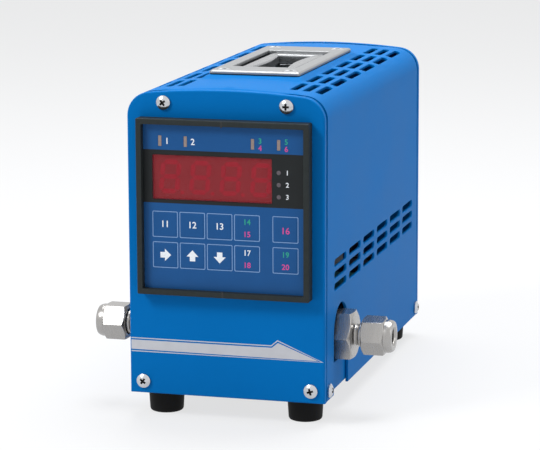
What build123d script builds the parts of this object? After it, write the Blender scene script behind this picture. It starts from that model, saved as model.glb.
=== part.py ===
"""A bench mass flow meter: a blue sheet-metal case with a panel meter, a folding handle and a flow body.

Millimetres. +X is right as seen from the front, +Y goes to the back, +Z is up.
The origin is on the bench, under the middle of the case.
"""

import os
from math import asin, atan2, cos, degrees, radians, sin, sqrt, tan

from build123d import *

os.makedirs("parts", exist_ok=True)

# Case: its width, depth and height follow from the meter, the flow body and the supply inside
case_side_space = 7.45
case_top_space = 11.5
supply_front_space = 13.7
supply_rear_space = 31.5
crown_rise = 2.6
corner_radius = 9.7
cover_sheet = 1.2
chassis_sheet = 1.5
flange_height = 12.4
bend_radius = 2.0
front_plate = 3.0
rear_plate = 3.0
plate_edge = 0.8
seam = 0.2
sheet_gap = 0.15

# Feet
foot_height = 9.8
foot_top_diameter = 15.0
foot_bottom_diameter = 13.8
foot_edge = 1.5
foot_inset_x = 11.4
foot_inset_y = 13.0
foot_recess_diameter = 7.4
foot_recess_depth = 5.0
foot_screw_reach = 1.5

# Vents, the same punch in the sides and in the top
vent_web = 5.0
vent_width = 3.0
vent_columns = 6
vent_end_space = 12.5
vent_shift_y = 1.2
side_vent_pitch = 5.0
side_vent_rows = 3
side_vent_height = 49.7
top_vent_pitch = 5.2
top_vent_seat_space = 1.3
top_vent_edge_space = 3.0

# Screws: shank and head sizes, and the hole that lets a shank through
screw_diameter = 3.0
screw_head_diameter = 5.8
screw_head_height = 1.9
panel_screw_length = 8.0
cover_screw_length = 4.0
screw_recess = 0.9
screw_recess_width = 0.8
screw_recess_share = 0.55
screw_rim_share = 0.45
screw_clearance = 0.2
thread_gap = 0.03

# Where the panel and cover screws sit
panel_screw_top_inset = 15.55
panel_screw_top_drop = 5.5
panel_screw_bottom_inset = 5.75
panel_screw_bottom_height = 5.2
cover_screw_inset = 6.8
cover_screw_height = 4.2
tab_width = 13.0
tab_depth = 11.0

# Panel meter
meter_body = 67.4
meter_overlap = 2.3
meter_cutout_gap = 0.3
meter_above_block = 9.1
bezel_thickness = 5.3
bezel_chamfer = 0.5
bezel_rim = 2.3
bezel_recess = 3.3
bezel_floor = 1.4
bezel_notch = 1.0
meter_depth = 60.0
meter_wall = 1.6
meter_gap = 0.1
keypad_thickness = 0.5
key_corner = 1.2
key_emboss = 0.25
key_space_x = 0.75
key_space_z = 1.9
key_group_space = 4.5
key_columns = 4
key_left_margin = 9.05
key_right_margin = 8.05
key_bottom_margin = 8.55
key_top_space = 4.85
window_left_margin = 3.9
window_right_margin = 13.6
window_top_margin = 12.5
window_lip = 1.0
window_lip_thickness = 0.8
digit_module_depth = 8.0
led_bar_width = 2.2
led_bar_height = 4.3
led_bar_top_margin = 6.9
led_bar_left_margins = (7.15, 17.85)
led_bar_right_margins = (21.55, 10.75)
led_dot_diameter = 1.8
led_dot_right_margin = 10.75
led_dot_pitch = 4.9
led_dot_drop = 1.3
led_gap = 0.1
board_thickness = 1.6
clamp_length = 40.0
clamp_width = 9.0
clamp_thickness = 3.0
clamp_setback = 4.0
clamp_screw_diameter = 1.5
terminal_side_space = 5.7
terminal_height = 10.0
terminal_depth = 9.0
terminal_pitch = 7.0
terminal_slot = 4.0
terminal_lift = 14.0

# Handle
handle_width = 39.0
handle_length = 90.0
handle_plate = 1.3
handle_plate_corner = 1.5
handle_above_crown = 2.5
handle_wall = 1.0
pocket_margin_x = 5.6
pocket_margin_y = 16.0
pocket_depth = 5.3
well_margin = 8.0
well_depth = 9.0
well_shift = 2.5
handle_screw_inset = 5.2
gasket_thickness = 0.4
seat_draft_x = 2.5
seat_draft_y = 6.0
seat_margin = 0.5
seat_corner = 3.0
seat_foot_corner = 4.0
well_corner = 3.0
bail_side_gap = 1.9
bail_thickness = 4.0
bail_leg = 4.2
bail_swell = 2.0
bail_bar = 5.6
bail_drop = 1.0
bail_gap = 1.0
bail_corner = 3.0
bail_eye_space = 1.0
pin_diameter = 2.4
pin_gap = 0.05
pin_setback = 3.4
handle_cut_gap = 0.4

# Flow line
fitting_height = 23.3
fitting_setback = 27.3
notch_width = 24.0
notch_rise = 1.1
adapter_hex = 19.0
adapter_gap = 0.3
adapter_hex_length = 8.9
adapter_neck_length = 2.0
adapter_collar_length = 1.4
adapter_neck_diameter = 8.8
adapter_thread_diameter = 11.0
adapter_thread_length = 7.0
adapter_stub_gap = 0.5
ferrule_angle = 35.0
ferrule_seat = 1.6
ferrule_gap = 0.3
ferrule_length = 2.2
ferrule_nose_wall = 0.05
ferrule_back_length = 1.2
corner_chamfer = 30.0
block_edge = 0.6
block_screw_depth = 4.0
block_hole_depth = 5.2
adapter_collar_diameter = 10.0
port_thread_diameter = 12.6
port_depth = 11.0
tube_diameter = 6.4
tube_gap = 0.05
tube_socket_depth = 0.6
passage_diameter = 4.8
nut_hex = 14.3
nut_hex_length = 9.7
nut_turned_length = 3.2
nut_turned_diameter = 13.6
nut_face_diameter = 12.2
nut_chamfer = 0.65
inlet_nut_turn = 58.5
outlet_nut_turn = 51.0
seal_width = 1.8
seal_length = 1.6

# Flow body, lying on its side across the case
block_side_space = 3.15
block_depth = 27.0
block_height = 25.0
bypass_diameter = 12.0
element_gap = 0.05
element_length = 40.0
element_slots = 8
element_slot_width = 0.8
element_slot_depth = 2.0
sensor_length = 38.0
sensor_depth = 18.0
sensor_height = 19.0
sensor_wall = 2.0
sensor_lid = 1.5
sensor_tube_diameter = 1.2
sensor_port_spacing = 24.0
sensor_tube_reach = 12.0
sensor_tube_root = 3.0
sensor_board_setback = 1.0
sensor_pillar_inset = 5.0
sensor_pillar_radius = 2.5
sensor_plug_length = 22.0
sensor_plug_width = 6.0
sensor_plug_height = 7.0
sensor_plug_wall = 1.0
sensor_plug_inset = 4.0
sensor_board_inset = 3.0
sensor_board_width = 36.0
sensor_board_lift = 4.0
spacer_diameter = 8.0
block_screw_inset = 8.0

# Power supply
supply_side_space = 3.3
supply_width = 52.0
standoff_height = 7.0
standoff_size = 6.0
standoff_inset = 4.5
core_capacitor_space = 9.5
core_width = 14.0
core_height = 35.0
coil_width = 27.0
coil_height = 23.0
core_window = 6.0
core_leg = 13.0
coil_corner = 3.0
core_seat = 1.0
transformer_inset = 2.0
transformer_shift_y = 4.0
pillar_stub = 1.0
capacitor_diameter = 12.5
capacitor_height = 25.0
capacitor_spacing = 15.0
capacitor_inset = 4.0
sink_fuse_space = 3.0
sink_height = 22.0
sink_fins = 5
sink_plate = 2.0
sink_fin_thickness = 1.2
sink_fin_depth = 7.0
sink_inset_x = 8.0
sink_inset_y = 8.0
regulator_width = 10.0
regulator_thickness = 4.5
regulator_height = 15.0
regulator_lift = 4.0
regulator_lead_pitch = 2.5
regulator_lead = 0.7
fuse_length = 20.0
fuse_diameter = 5.2
fuse_inset = 6.0
fuse_lift = 6.0
fuse_clip_width = 3.0
fuse_clip_wall = 0.6
fuse_clip_rise = 2.0

# Rear panel fittings
inlet_width = 50.0
inlet_height = 22.6
inlet_flange = 2.8
inlet_body_width = 27.0
inlet_body_height = 19.6
inlet_depth = 18.0
inlet_cavity_width = 24.6
inlet_cavity_height = 16.6
inlet_cavity_depth = 16.0
inlet_cavity_corner = 5.2
inlet_corner = 3.0
pin_setback_y = 2.0
pin_tail = 5.0
inlet_z = 32.0
inlet_screw_spacing = 40.0
pin_width = 4.0
pin_thick = 2.0
pin_spread = 14.0
pin_offset = 4.0
switch_width = 21.0
switch_height = 15.0
switch_flange = 2.0
switch_depth = 14.0
switch_x = -18.0
switch_z = 62.0
switch_corner = 1.0
rocker_width = 9.6
rocker_height = 11.7
rocker_setback = 0.5
rocker_face = 2.4
rocker_back = 2.5
rocker_gap = 0.35
rocker_tilt = 7.0
trunnion_diameter = 2.4
trunnion_length = 1.5
signal_width = 31.0
signal_height = 12.6
signal_z = 88.0
signal_spacing = 25.0
signal_shell_width = 17.0
signal_shell_height = 8.4
signal_shell_length = 6.0
signal_shell_angle = 80.0
signal_flange = 1.0
signal_corner = 1.5
signal_body_depth = 10.0
socket_columns = 5
socket_pitch = 2.8
socket_size = 1.1
socket_depth = 4.0
post_hex = 4.8
post_bore = 2.6
post_floor = 1.5
post_thread = 4.5
rear_gap = 0.2

# Sizes that follow: the meter sets the case's width, and with the flow block its height
meter_size = meter_body + 2 * meter_overlap
meter_cutout = meter_body + 2 * meter_cutout_gap
meter_height = fitting_height + block_height / 2 + meter_above_block + meter_body / 2
case_width = meter_body + 2 * case_side_space
case_height = meter_height + meter_size / 2 + case_top_space
sensor_board_reach = fitting_setback + block_depth / 2 + sensor_board_setback + sensor_board_width
case_depth = sensor_board_reach + supply_front_space + supply_width + supply_rear_space
vent_pitch_y = (case_depth - 2 * vent_end_space) / vent_columns
vent_length = vent_pitch_y - vent_web
panel_screw_top_x = case_width / 2 - panel_screw_top_inset
panel_screw_bottom_x = case_width / 2 - panel_screw_bottom_inset

# The flow line runs outwards from the block: adapter, neck, collar and nut
block_length = case_width - 2 * block_side_space
block_screw_spacing_x = block_length - 2 * block_screw_inset
notch_top = fitting_height + notch_rise + notch_width / 2
adapter_hex_start = block_length / 2 + adapter_gap
adapter_hex_end = adapter_hex_start + adapter_hex_length
adapter_collar_start = adapter_hex_end + adapter_neck_length
nut_start = adapter_collar_start + adapter_collar_length
nut_hex_end = nut_start + nut_hex_length
nut_end = nut_hex_end + nut_turned_length
tube_socket_start = nut_start - tube_socket_depth
adapter_thread_end = nut_start + adapter_thread_length

# Derived planes and centres of the case
floor_z = foot_height
front_y = -case_depth / 2
rear_y = case_depth / 2
panel_back_y = front_y + front_plate
rear_inside_y = rear_y - rear_plate
cover_front_y = panel_back_y + seam
cover_rear_y = rear_inside_y - seam
crown_radius = (case_width**2 / 4 + crown_rise**2) / (2 * crown_rise)
crown_z = floor_z + case_height - crown_radius
corner_x = case_width / 2 - corner_radius
corner_z = crown_z + sqrt((crown_radius - corner_radius) ** 2 - corner_x**2)
crown_turn = degrees(atan2(corner_z - crown_z, corner_x))


def crown_height(x):
    """Height of the crowned top above the bench, over a point x from the middle."""
    return crown_z + sqrt(crown_radius**2 - x**2)


def case_outline(inset, bottom_z):
    """The case's outline across its width, moved inwards by inset, down to bottom_z."""
    half = case_width / 2 - inset
    with BuildSketch() as outline:
        with BuildLine():
            Line((-half, corner_z), (-half, bottom_z))
            Line((-half, bottom_z), (half, bottom_z))
            Line((half, bottom_z), (half, corner_z))
            CenterArc((corner_x, corner_z), corner_radius - inset, 0, crown_turn)
            CenterArc((0, crown_z), crown_radius - inset, crown_turn, 180 - 2 * crown_turn)
            CenterArc((-corner_x, corner_z), corner_radius - inset, 180 - crown_turn, crown_turn)
        make_face()
    return outline.sketch


def across(y):
    """A plane across the case at y, whose sketches are seen from the front and extrude forwards."""
    return Plane.XZ.offset(-y)


def facing(x, y, z, direction):
    """A plane at a point, with its outward side along direction."""
    return Plane(origin=(x, y, z), z_dir=direction)


def save(builder, name):
    """Labels a finished piece and writes its file."""
    builder.part.label = name
    export_step(builder.part, f"parts/{name}.step")


def pan_screw(diameter, head_diameter, head_height, length):
    """A cross-recessed pan-head screw, seated at the origin with its head upwards."""
    shank = diameter / 2 - thread_gap
    rim_height = head_height * screw_rim_share
    dome = head_height - rim_height
    dome_radius = (head_diameter**2 / 4 + dome**2) / (2 * dome)
    dome_angle = degrees(asin(head_diameter / 2 / dome_radius))
    with BuildPart() as screw:
        with BuildSketch(Plane.XZ):
            with BuildLine():
                Line((0, -length), (shank, -length))
                Line((shank, -length), (shank, 0))
                Line((shank, 0), (head_diameter / 2, 0))
                Line((head_diameter / 2, 0), (head_diameter / 2, rim_height))
                CenterArc((0, head_height - dome_radius), dome_radius, 90 - dome_angle, dome_angle)
                Line((0, head_height), (0, -length))
            make_face()
        revolve(axis=Axis.Z)
        with BuildSketch(Plane.XY.offset(head_height)):
            Rectangle(head_diameter * screw_recess_share, screw_recess_width)
            Rectangle(screw_recess_width, head_diameter * screw_recess_share)
        extrude(amount=-screw_recess, mode=Mode.SUBTRACT)
    return screw.part


def plain_screw(diameter, head_diameter, head_height, length):
    """An inner screw with a plain round head, seated at the origin with its head upwards."""
    with BuildPart() as screw:
        with BuildSketch():
            Circle(head_diameter / 2)
        extrude(amount=head_height)
        with BuildSketch():
            Circle(diameter / 2 - thread_gap)
        extrude(amount=-length)
    return screw.part


panel_screw = pan_screw(screw_diameter, screw_head_diameter, screw_head_height, panel_screw_length)
case_hole = screw_diameter / 2 + screw_clearance
tapped_hole = screw_diameter / 2

# Chassis: a folded tray whose flanges take the panels, the cover and the feet
chassis_width = case_width - 2 * (cover_sheet + sheet_gap)
chassis_depth = rear_inside_y - panel_back_y
side_screw_y = case_depth / 2 - cover_screw_inset
foot_x = case_width / 2 - foot_inset_x
foot_y = case_depth / 2 - foot_inset_y
flow_y = front_y + fitting_setback
flow_z = floor_z + fitting_height
supply_length = chassis_width - 2 * (chassis_sheet + supply_side_space)
supply_centre_y = rear_y - supply_rear_space - supply_width / 2
supply_screw_x = supply_length / 2 - standoff_inset
supply_screw_y = supply_width / 2 - standoff_inset
relief = chassis_sheet + bend_radius

with BuildPart() as chassis:
    with BuildSketch(Plane.XY.offset(floor_z)):
        Rectangle(chassis_width, chassis_depth)
    extrude(amount=flange_height)
    fillet(chassis.faces().sort_by(Axis.Z)[0].edges(), bend_radius)
    with BuildSketch(Plane.XY.offset(floor_z + chassis_sheet)):
        Rectangle(chassis_width - 2 * chassis_sheet, chassis_depth - 2 * chassis_sheet)
    extrude(amount=flange_height, mode=Mode.SUBTRACT)
    with BuildSketch(Plane.XY.offset(floor_z)):
        with GridLocations(chassis_width - relief, chassis_depth - relief, 2, 2):
            Rectangle(relief, relief)
    extrude(amount=flange_height, mode=Mode.SUBTRACT)
    with Locations(*(facing(x, front_y, floor_z + panel_screw_bottom_height, (0, -1, 0))
                     for x in (-panel_screw_bottom_x, panel_screw_bottom_x))):
        Hole(tapped_hole, case_depth)
    with Locations(*(facing(chassis_width / 2, y, floor_z + cover_screw_height, (1, 0, 0))
                     for y in (-side_screw_y, side_screw_y))):
        Hole(tapped_hole, chassis_width)
    with Locations(*((x, y, floor_z) for x in (-foot_x, foot_x) for y in (-foot_y, foot_y))):
        Hole(tapped_hole, flange_height)
    with Locations(*((x, flow_y, floor_z) for x in (-block_screw_spacing_x / 2, block_screw_spacing_x / 2))):
        Hole(case_hole, flange_height)
    with Locations(*((x, supply_centre_y + y, floor_z)
                     for x in (-supply_screw_x, supply_screw_x)
                     for y in (-supply_screw_y, supply_screw_y))):
        Hole(tapped_hole, flange_height)
save(chassis, "chassis")

# Handle seat: the raised flat that is pressed into the crowned top
plate_top = floor_z + case_height + handle_above_crown
plate_bottom = plate_top - handle_plate
seat_z = plate_bottom - gasket_thickness
seat_top_x = handle_width / 2 + seat_margin
seat_top_y = handle_length / 2 + seat_margin
seat_foot_z = crown_height(seat_top_x + seat_draft_x) - cover_sheet
handle_screw_x = handle_width / 2 - handle_screw_inset
handle_screw_y = handle_length / 2 - handle_screw_inset
pocket_width = handle_width - 2 * pocket_margin_x
pocket_length = handle_length - 2 * pocket_margin_y
cut_width = pocket_width + 2 * (handle_wall + handle_cut_gap)
cut_length = pocket_length + 2 * (handle_wall + handle_cut_gap)


def seat_block(inset, drop):
    """The raised flat as a solid with sloped sides, moved inwards by inset and down by drop."""
    with BuildPart() as block:
        with BuildSketch(Plane.XY.offset(seat_foot_z)):
            RectangleRounded(
                2 * (seat_top_x + seat_draft_x - inset),
                2 * (seat_top_y + seat_draft_y - inset),
                seat_foot_corner,
            )
        with BuildSketch(Plane.XY.offset(seat_z - drop)):
            RectangleRounded(2 * (seat_top_x - inset), 2 * (seat_top_y - inset), seat_corner)
        loft()
    return block.part


# Cover: a bent shell with the pressed seat, punched vents, notches and folded tabs
top_vent_start = seat_top_x + seat_draft_x + top_vent_seat_space
top_vent_room = case_width / 2 - top_vent_edge_space - seat_top_x - seat_draft_x
top_vent_centres = [
    side * (top_vent_start + row * top_vent_pitch)
    for side in (-1, 1)
    for row in range(int(top_vent_room / top_vent_pitch))
]
vent_centres = [
    vent_shift_y + (column - (vent_columns - 1) / 2) * vent_pitch_y for column in range(vent_columns)
]
tab_z = floor_z + case_height - panel_screw_top_drop

with BuildPart() as cover:
    with BuildSketch(across(cover_rear_y)):
        add(case_outline(0, floor_z))
        add(case_outline(cover_sheet, floor_z), mode=Mode.SUBTRACT)
    extrude(amount=cover_rear_y - cover_front_y)
    add(seat_block(0, 0))
    add(seat_block(cover_sheet, cover_sheet), mode=Mode.SUBTRACT)
    with BuildSketch(Plane.XY.offset(seat_z)):
        Rectangle(cut_width, cut_length)
    extrude(amount=-case_height / 4, mode=Mode.SUBTRACT)
    with Locations(*((x, y, seat_z) for x in (-handle_screw_x, handle_screw_x)
                     for y in (-handle_screw_y, handle_screw_y))):
        Hole(tapped_hole, 3 * cover_sheet)
    with BuildSketch(Plane.YZ):
        with Locations((vent_shift_y, floor_z + side_vent_height)):
            with GridLocations(vent_pitch_y, side_vent_pitch, vent_columns, side_vent_rows):
                SlotOverall(vent_length, vent_width)
    extrude(amount=case_width, both=True, mode=Mode.SUBTRACT)
    with BuildSketch(Plane.XY.offset(floor_z + case_height)):
        with Locations(*((x, y) for x in top_vent_centres for y in vent_centres)):
            SlotOverall(vent_length, vent_width, rotation=90)
    extrude(amount=-corner_radius, mode=Mode.SUBTRACT)
    with BuildSketch(Plane.YZ):
        with Locations((flow_y, floor_z)):
            Rectangle(
                notch_width, notch_top - notch_width / 2, align=(Align.CENTER, Align.MIN)
            )
        with Locations((flow_y, floor_z + notch_top - notch_width / 2)):
            Circle(notch_width / 2)
    extrude(amount=case_width, both=True, mode=Mode.SUBTRACT)
    for y in (cover_front_y + cover_sheet, cover_rear_y):
        with BuildSketch(across(y)):
            for x in (-panel_screw_top_x, panel_screw_top_x):
                with Locations((x, floor_z + case_height)):
                    Rectangle(tab_width, 2 * tab_depth)
            add(case_outline(cover_sheet / 2, floor_z), mode=Mode.INTERSECT)
        extrude(amount=cover_sheet)
    with Locations(*(facing(x, front_y, tab_z, (0, -1, 0))
                     for x in (-panel_screw_top_x, panel_screw_top_x))):
        Hole(tapped_hole, case_depth)
    with Locations(*(facing(case_width / 2, y, floor_z + cover_screw_height, (1, 0, 0))
                     for y in (-side_screw_y, side_screw_y))):
        Hole(case_hole, case_width)
save(cover, "cover")


def end_plate(back_y, thickness):
    """A front or rear plate with the case's full outline, which ends at back_y, and its screw holes."""
    with BuildPart() as plate:
        with BuildSketch(across(back_y)):
            add(case_outline(0, floor_z))
        extrude(amount=thickness)
        with Locations(*(facing(x, back_y - thickness, tab_z, (0, -1, 0))
                         for x in (-panel_screw_top_x, panel_screw_top_x))):
            Hole(case_hole, thickness)
        with Locations(*(facing(x, back_y - thickness, floor_z + panel_screw_bottom_height, (0, -1, 0))
                         for x in (-panel_screw_bottom_x, panel_screw_bottom_x))):
            Hole(case_hole, thickness)
    return plate.part


meter_z = floor_z + meter_height
inlet_centre_z = floor_z + inlet_z
switch_centre_z = floor_z + switch_z
signal_centre_z = floor_z + signal_z

# Front panel, with the square cut-out of the meter
with BuildPart() as front_panel:
    add(end_plate(panel_back_y, front_plate))
    fillet(front_panel.faces().sort_by(Axis.Y)[0].outer_wire().edges(), plate_edge)
    with BuildSketch(across(panel_back_y)):
        with Locations((0, meter_z)):
            Rectangle(meter_cutout, meter_cutout)
    extrude(amount=front_plate, mode=Mode.SUBTRACT)
save(front_panel, "front_panel")

# Rear panel, with cut-outs for the mains inlet, the switch and the signal connector
with BuildPart() as rear_panel:
    add(end_plate(rear_y, rear_plate))
    fillet(rear_panel.faces().sort_by(Axis.Y)[-1].outer_wire().edges(), plate_edge)
    with BuildSketch(across(rear_y)):
        with Locations((0, inlet_centre_z)):
            Rectangle(inlet_body_width + 2 * rear_gap, inlet_body_height + 2 * rear_gap)
        with Locations((switch_x, switch_centre_z)):
            Rectangle(
                switch_width - 2 * switch_flange + 2 * rear_gap,
                switch_height - switch_flange + 2 * rear_gap,
            )
        with Locations((0, signal_centre_z)):
            Rectangle(signal_shell_width + 2 * rear_gap, signal_shell_height + 2 * rear_gap)
    extrude(amount=rear_plate, mode=Mode.SUBTRACT)
    with Locations(*(facing(x, rear_y, inlet_centre_z, (0, 1, 0))
                     for x in (-inlet_screw_spacing / 2, inlet_screw_spacing / 2))):
        Hole(tapped_hole, rear_plate)
    with Locations(*(facing(x, rear_y, signal_centre_z, (0, 1, 0))
                     for x in (-signal_spacing / 2, signal_spacing / 2))):
        Hole(tapped_hole, rear_plate)
save(rear_panel, "rear_panel")

# Case screws: ten alike in the two panels and the mains inlet, and four short ones in the cover
panel_screw_places = (
    (-panel_screw_top_x, tab_z),
    (panel_screw_top_x, tab_z),
    (-panel_screw_bottom_x, floor_z + panel_screw_bottom_height),
    (panel_screw_bottom_x, floor_z + panel_screw_bottom_height),
)

with BuildPart() as panel_screws:
    with Locations(*(facing(x, front_y, z, (0, -1, 0)) for x, z in panel_screw_places)):
        add(panel_screw)
    with Locations(*(facing(x, rear_y, z, (0, 1, 0)) for x, z in panel_screw_places)):
        add(panel_screw)
    with Locations(*(facing(x, rear_y + inlet_flange, inlet_centre_z, (0, 1, 0))
                     for x in (-inlet_screw_spacing / 2, inlet_screw_spacing / 2))):
        add(panel_screw)
save(panel_screws, "panel_screws")

with BuildPart() as cover_screws:
    with Locations(*(facing(side * case_width / 2, y, floor_z + cover_screw_height, (side, 0, 0))
                     for side in (-1, 1) for y in (-side_screw_y, side_screw_y))):
        add(pan_screw(screw_diameter, screw_head_diameter, screw_head_height, cover_screw_length))
save(cover_screws, "cover_screws")

# Feet: tapered rubber bumpers with a screw in a deep recess
foot_screw_length = foot_height - foot_recess_depth + chassis_sheet + foot_screw_reach

for name, x, y in (
    ("foot_front_left", -foot_x, -foot_y),
    ("foot_front_right", foot_x, -foot_y),
    ("foot_rear_left", -foot_x, foot_y),
    ("foot_rear_right", foot_x, foot_y),
):
    with BuildPart() as foot:
        with BuildSketch(Plane.XY.offset(floor_z)):
            with Locations((x, y)):
                Circle(foot_top_diameter / 2)
        with BuildSketch():
            with Locations((x, y)):
                Circle(foot_bottom_diameter / 2)
        loft()
        fillet(foot.faces().sort_by(Axis.Z)[0].edges(), foot_edge)
        with Locations(facing(x, y, 0, (0, 0, -1))):
            CounterBoreHole(case_hole, foot_recess_diameter / 2, foot_recess_depth, foot_height)
    save(foot, name)

with BuildPart() as foot_screws:
    with Locations(*(facing(x, y, foot_recess_depth, (0, 0, -1))
                     for x in (-foot_x, foot_x) for y in (-foot_y, foot_y))):
        add(plain_screw(screw_diameter, screw_head_diameter, screw_head_height, foot_screw_length))
save(foot_screws, "foot_screws")

# Handle: a pressed plate with a pocket and a finger well, and a ring that folds into it
pocket_floor_z = plate_top - pocket_depth
bail_width = pocket_width - 2 * bail_side_gap
well_width = bail_width - 2 * bail_leg
well_length = pocket_length - 2 * well_margin
pin_y = -pocket_length / 2 + pin_setback
pin_z = plate_top - bail_drop - bail_thickness / 2
well_centre_y = well_shift

with BuildPart() as handle_body:
    with BuildSketch(Plane.XY.offset(plate_bottom)):
        RectangleRounded(handle_width, handle_length, handle_plate_corner)
    extrude(amount=handle_plate)
    chamfer(handle_body.faces().sort_by(Axis.Z)[-1].outer_wire().edges(), handle_plate / 4)
    with BuildSketch(Plane.XY.offset(plate_bottom)):
        Rectangle(pocket_width + 2 * handle_wall, pocket_length + 2 * handle_wall)
    extrude(amount=pocket_floor_z - handle_wall - plate_bottom)
    with BuildSketch(Plane.XY.offset(pocket_floor_z)):
        with Locations((0, well_centre_y)):
            RectangleRounded(
                well_width + 2 * handle_wall,
                well_length + 2 * handle_wall,
                well_corner + handle_wall,
            )
    extrude(amount=-well_depth - handle_wall)
    with BuildSketch(Plane.XY.offset(plate_top)):
        Rectangle(pocket_width, pocket_length)
    extrude(amount=-pocket_depth, mode=Mode.SUBTRACT)
    with BuildSketch(Plane.XY.offset(pocket_floor_z)):
        with Locations((0, well_centre_y)):
            RectangleRounded(well_width, well_length, well_corner)
    extrude(amount=-well_depth, mode=Mode.SUBTRACT)
    with Locations(*((x, y, plate_top) for x in (-handle_screw_x, handle_screw_x)
                     for y in (-handle_screw_y, handle_screw_y))):
        CounterSinkHole(case_hole, screw_head_diameter / 2 + screw_clearance, handle_plate)
    with Locations(facing(handle_width, pin_y, pin_z, (1, 0, 0))):
        Hole(pin_diameter / 2, 2 * handle_width)
save(handle_body, "handle_body")

with BuildPart() as handle_gasket:
    with BuildSketch(Plane.XY.offset(seat_z)):
        RectangleRounded(handle_width, handle_length, handle_plate_corner)
        Rectangle(cut_width, cut_length, mode=Mode.SUBTRACT)
        with GridLocations(2 * handle_screw_x, 2 * handle_screw_y, 2, 2):
            Circle(case_hole, mode=Mode.SUBTRACT)
    extrude(amount=gasket_thickness)
save(handle_gasket, "handle_gasket")

# The ring's inner edges swell inwards between its bar and its pivot, and its near ends are round eyes
bail_far_y = pocket_length / 2 - bail_gap
bail_inner_x = bail_width / 2 - bail_leg
bail_inner_far_y = bail_far_y - bail_bar
bail_inner_near_y = pin_y + bail_thickness / 2 + bail_eye_space
bail_middle_y = (bail_inner_far_y + bail_inner_near_y) / 2
bail_bottom_z = pin_z - bail_thickness / 2

with BuildPart() as handle_bail:
    with BuildSketch(Plane.XY.offset(bail_bottom_z)):
        with BuildLine():
            FilletPolyline(
                (-bail_width / 2, pin_y),
                (-bail_width / 2, bail_far_y),
                (bail_width / 2, bail_far_y),
                (bail_width / 2, pin_y),
                radius=bail_corner,
            )
            Line((bail_width / 2, pin_y), (-bail_width / 2, pin_y))
        make_face()
        with BuildLine():
            Line((-bail_inner_x, bail_inner_near_y), (bail_inner_x, bail_inner_near_y))
            ThreePointArc(
                (bail_inner_x, bail_inner_near_y),
                (bail_inner_x - bail_swell, bail_middle_y),
                (bail_inner_x, bail_inner_far_y),
            )
            Line((bail_inner_x, bail_inner_far_y), (-bail_inner_x, bail_inner_far_y))
            ThreePointArc(
                (-bail_inner_x, bail_inner_far_y),
                (-bail_inner_x + bail_swell, bail_middle_y),
                (-bail_inner_x, bail_inner_near_y),
            )
        make_face(mode=Mode.SUBTRACT)
    extrude(amount=bail_thickness)
    chamfer(handle_bail.faces().sort_by(Axis.Z)[-1].edges(), bail_thickness / 6)
    with BuildSketch(Plane.YZ.offset(-bail_width / 2)):
        with Locations((pin_y, pin_z)):
            Circle(bail_thickness / 2)
    extrude(amount=bail_width)
    with Locations(facing(bail_width, pin_y, pin_z, (1, 0, 0))):
        Hole(pin_diameter / 2 + pin_gap, 2 * bail_width)
save(handle_bail, "handle_bail")

with BuildPart() as handle_pin:
    with BuildSketch(Plane.YZ.offset(-pocket_width / 2 - handle_wall)):
        with Locations((pin_y, pin_z)):
            Circle(pin_diameter / 2)
    extrude(amount=pocket_width + 2 * handle_wall)
save(handle_pin, "handle_pin")

handle_screw_length = handle_plate + gasket_thickness + 2 * cover_sheet

with BuildPart() as handle_screw:
    with BuildSketch(Plane.XZ):
        with BuildLine():
            Polyline(
                (0, 0),
                (screw_head_diameter / 2, 0),
                (screw_diameter / 2 - thread_gap, -screw_head_diameter / 2 + screw_diameter / 2),
                (screw_diameter / 2 - thread_gap, -handle_screw_length),
                (0, -handle_screw_length),
                close=True,
            )
        make_face()
    revolve(axis=Axis.Z)
    with BuildSketch():
        Rectangle(screw_head_diameter * screw_recess_share, screw_recess_width)
        Rectangle(screw_recess_width, screw_head_diameter * screw_recess_share)
    extrude(amount=-screw_recess, mode=Mode.SUBTRACT)

with BuildPart() as handle_screws:
    with Locations(*((x, y, plate_top) for x in (-handle_screw_x, handle_screw_x)
                     for y in (-handle_screw_y, handle_screw_y))):
        add(handle_screw.part)
save(handle_screws, "handle_screws")

# Panel meter: bezel, sealed keypad, red window, case and its boards
bezel_face_y = front_y - bezel_thickness
floor_face_y = bezel_face_y + bezel_recess
floor_back_y = floor_face_y + bezel_floor
film_size = meter_size - 2 * bezel_rim
film_half = film_size / 2
key_span = film_size - key_left_margin - key_right_margin - key_group_space
key_pitch_x = key_span / key_columns
key_size = key_pitch_x - key_space_x
key_pitch_z = key_size + key_space_z
key_last_z = meter_z - film_half + key_bottom_margin + key_size / 2
key_first_z = key_last_z + key_pitch_z
window_bottom_z = key_first_z + key_size / 2 + key_top_space
window_top_z = meter_z + film_half - window_top_margin
window_width = film_size - window_left_margin - window_right_margin
window_height = window_top_z - window_bottom_z
window_centre = (
    (window_left_margin - window_right_margin) / 2,
    (window_bottom_z + window_top_z) / 2,
)
bar_z = meter_z + film_half - led_bar_top_margin
bar_slots = [(margin - film_half, bar_z) for margin in led_bar_left_margins]
bar_slots += [(film_half - margin, bar_z) for margin in led_bar_right_margins]
dot_slots = [
    (film_half - led_dot_right_margin, window_centre[1] - led_dot_drop + row * led_dot_pitch)
    for row in (-1, 0, 1)
]

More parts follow.
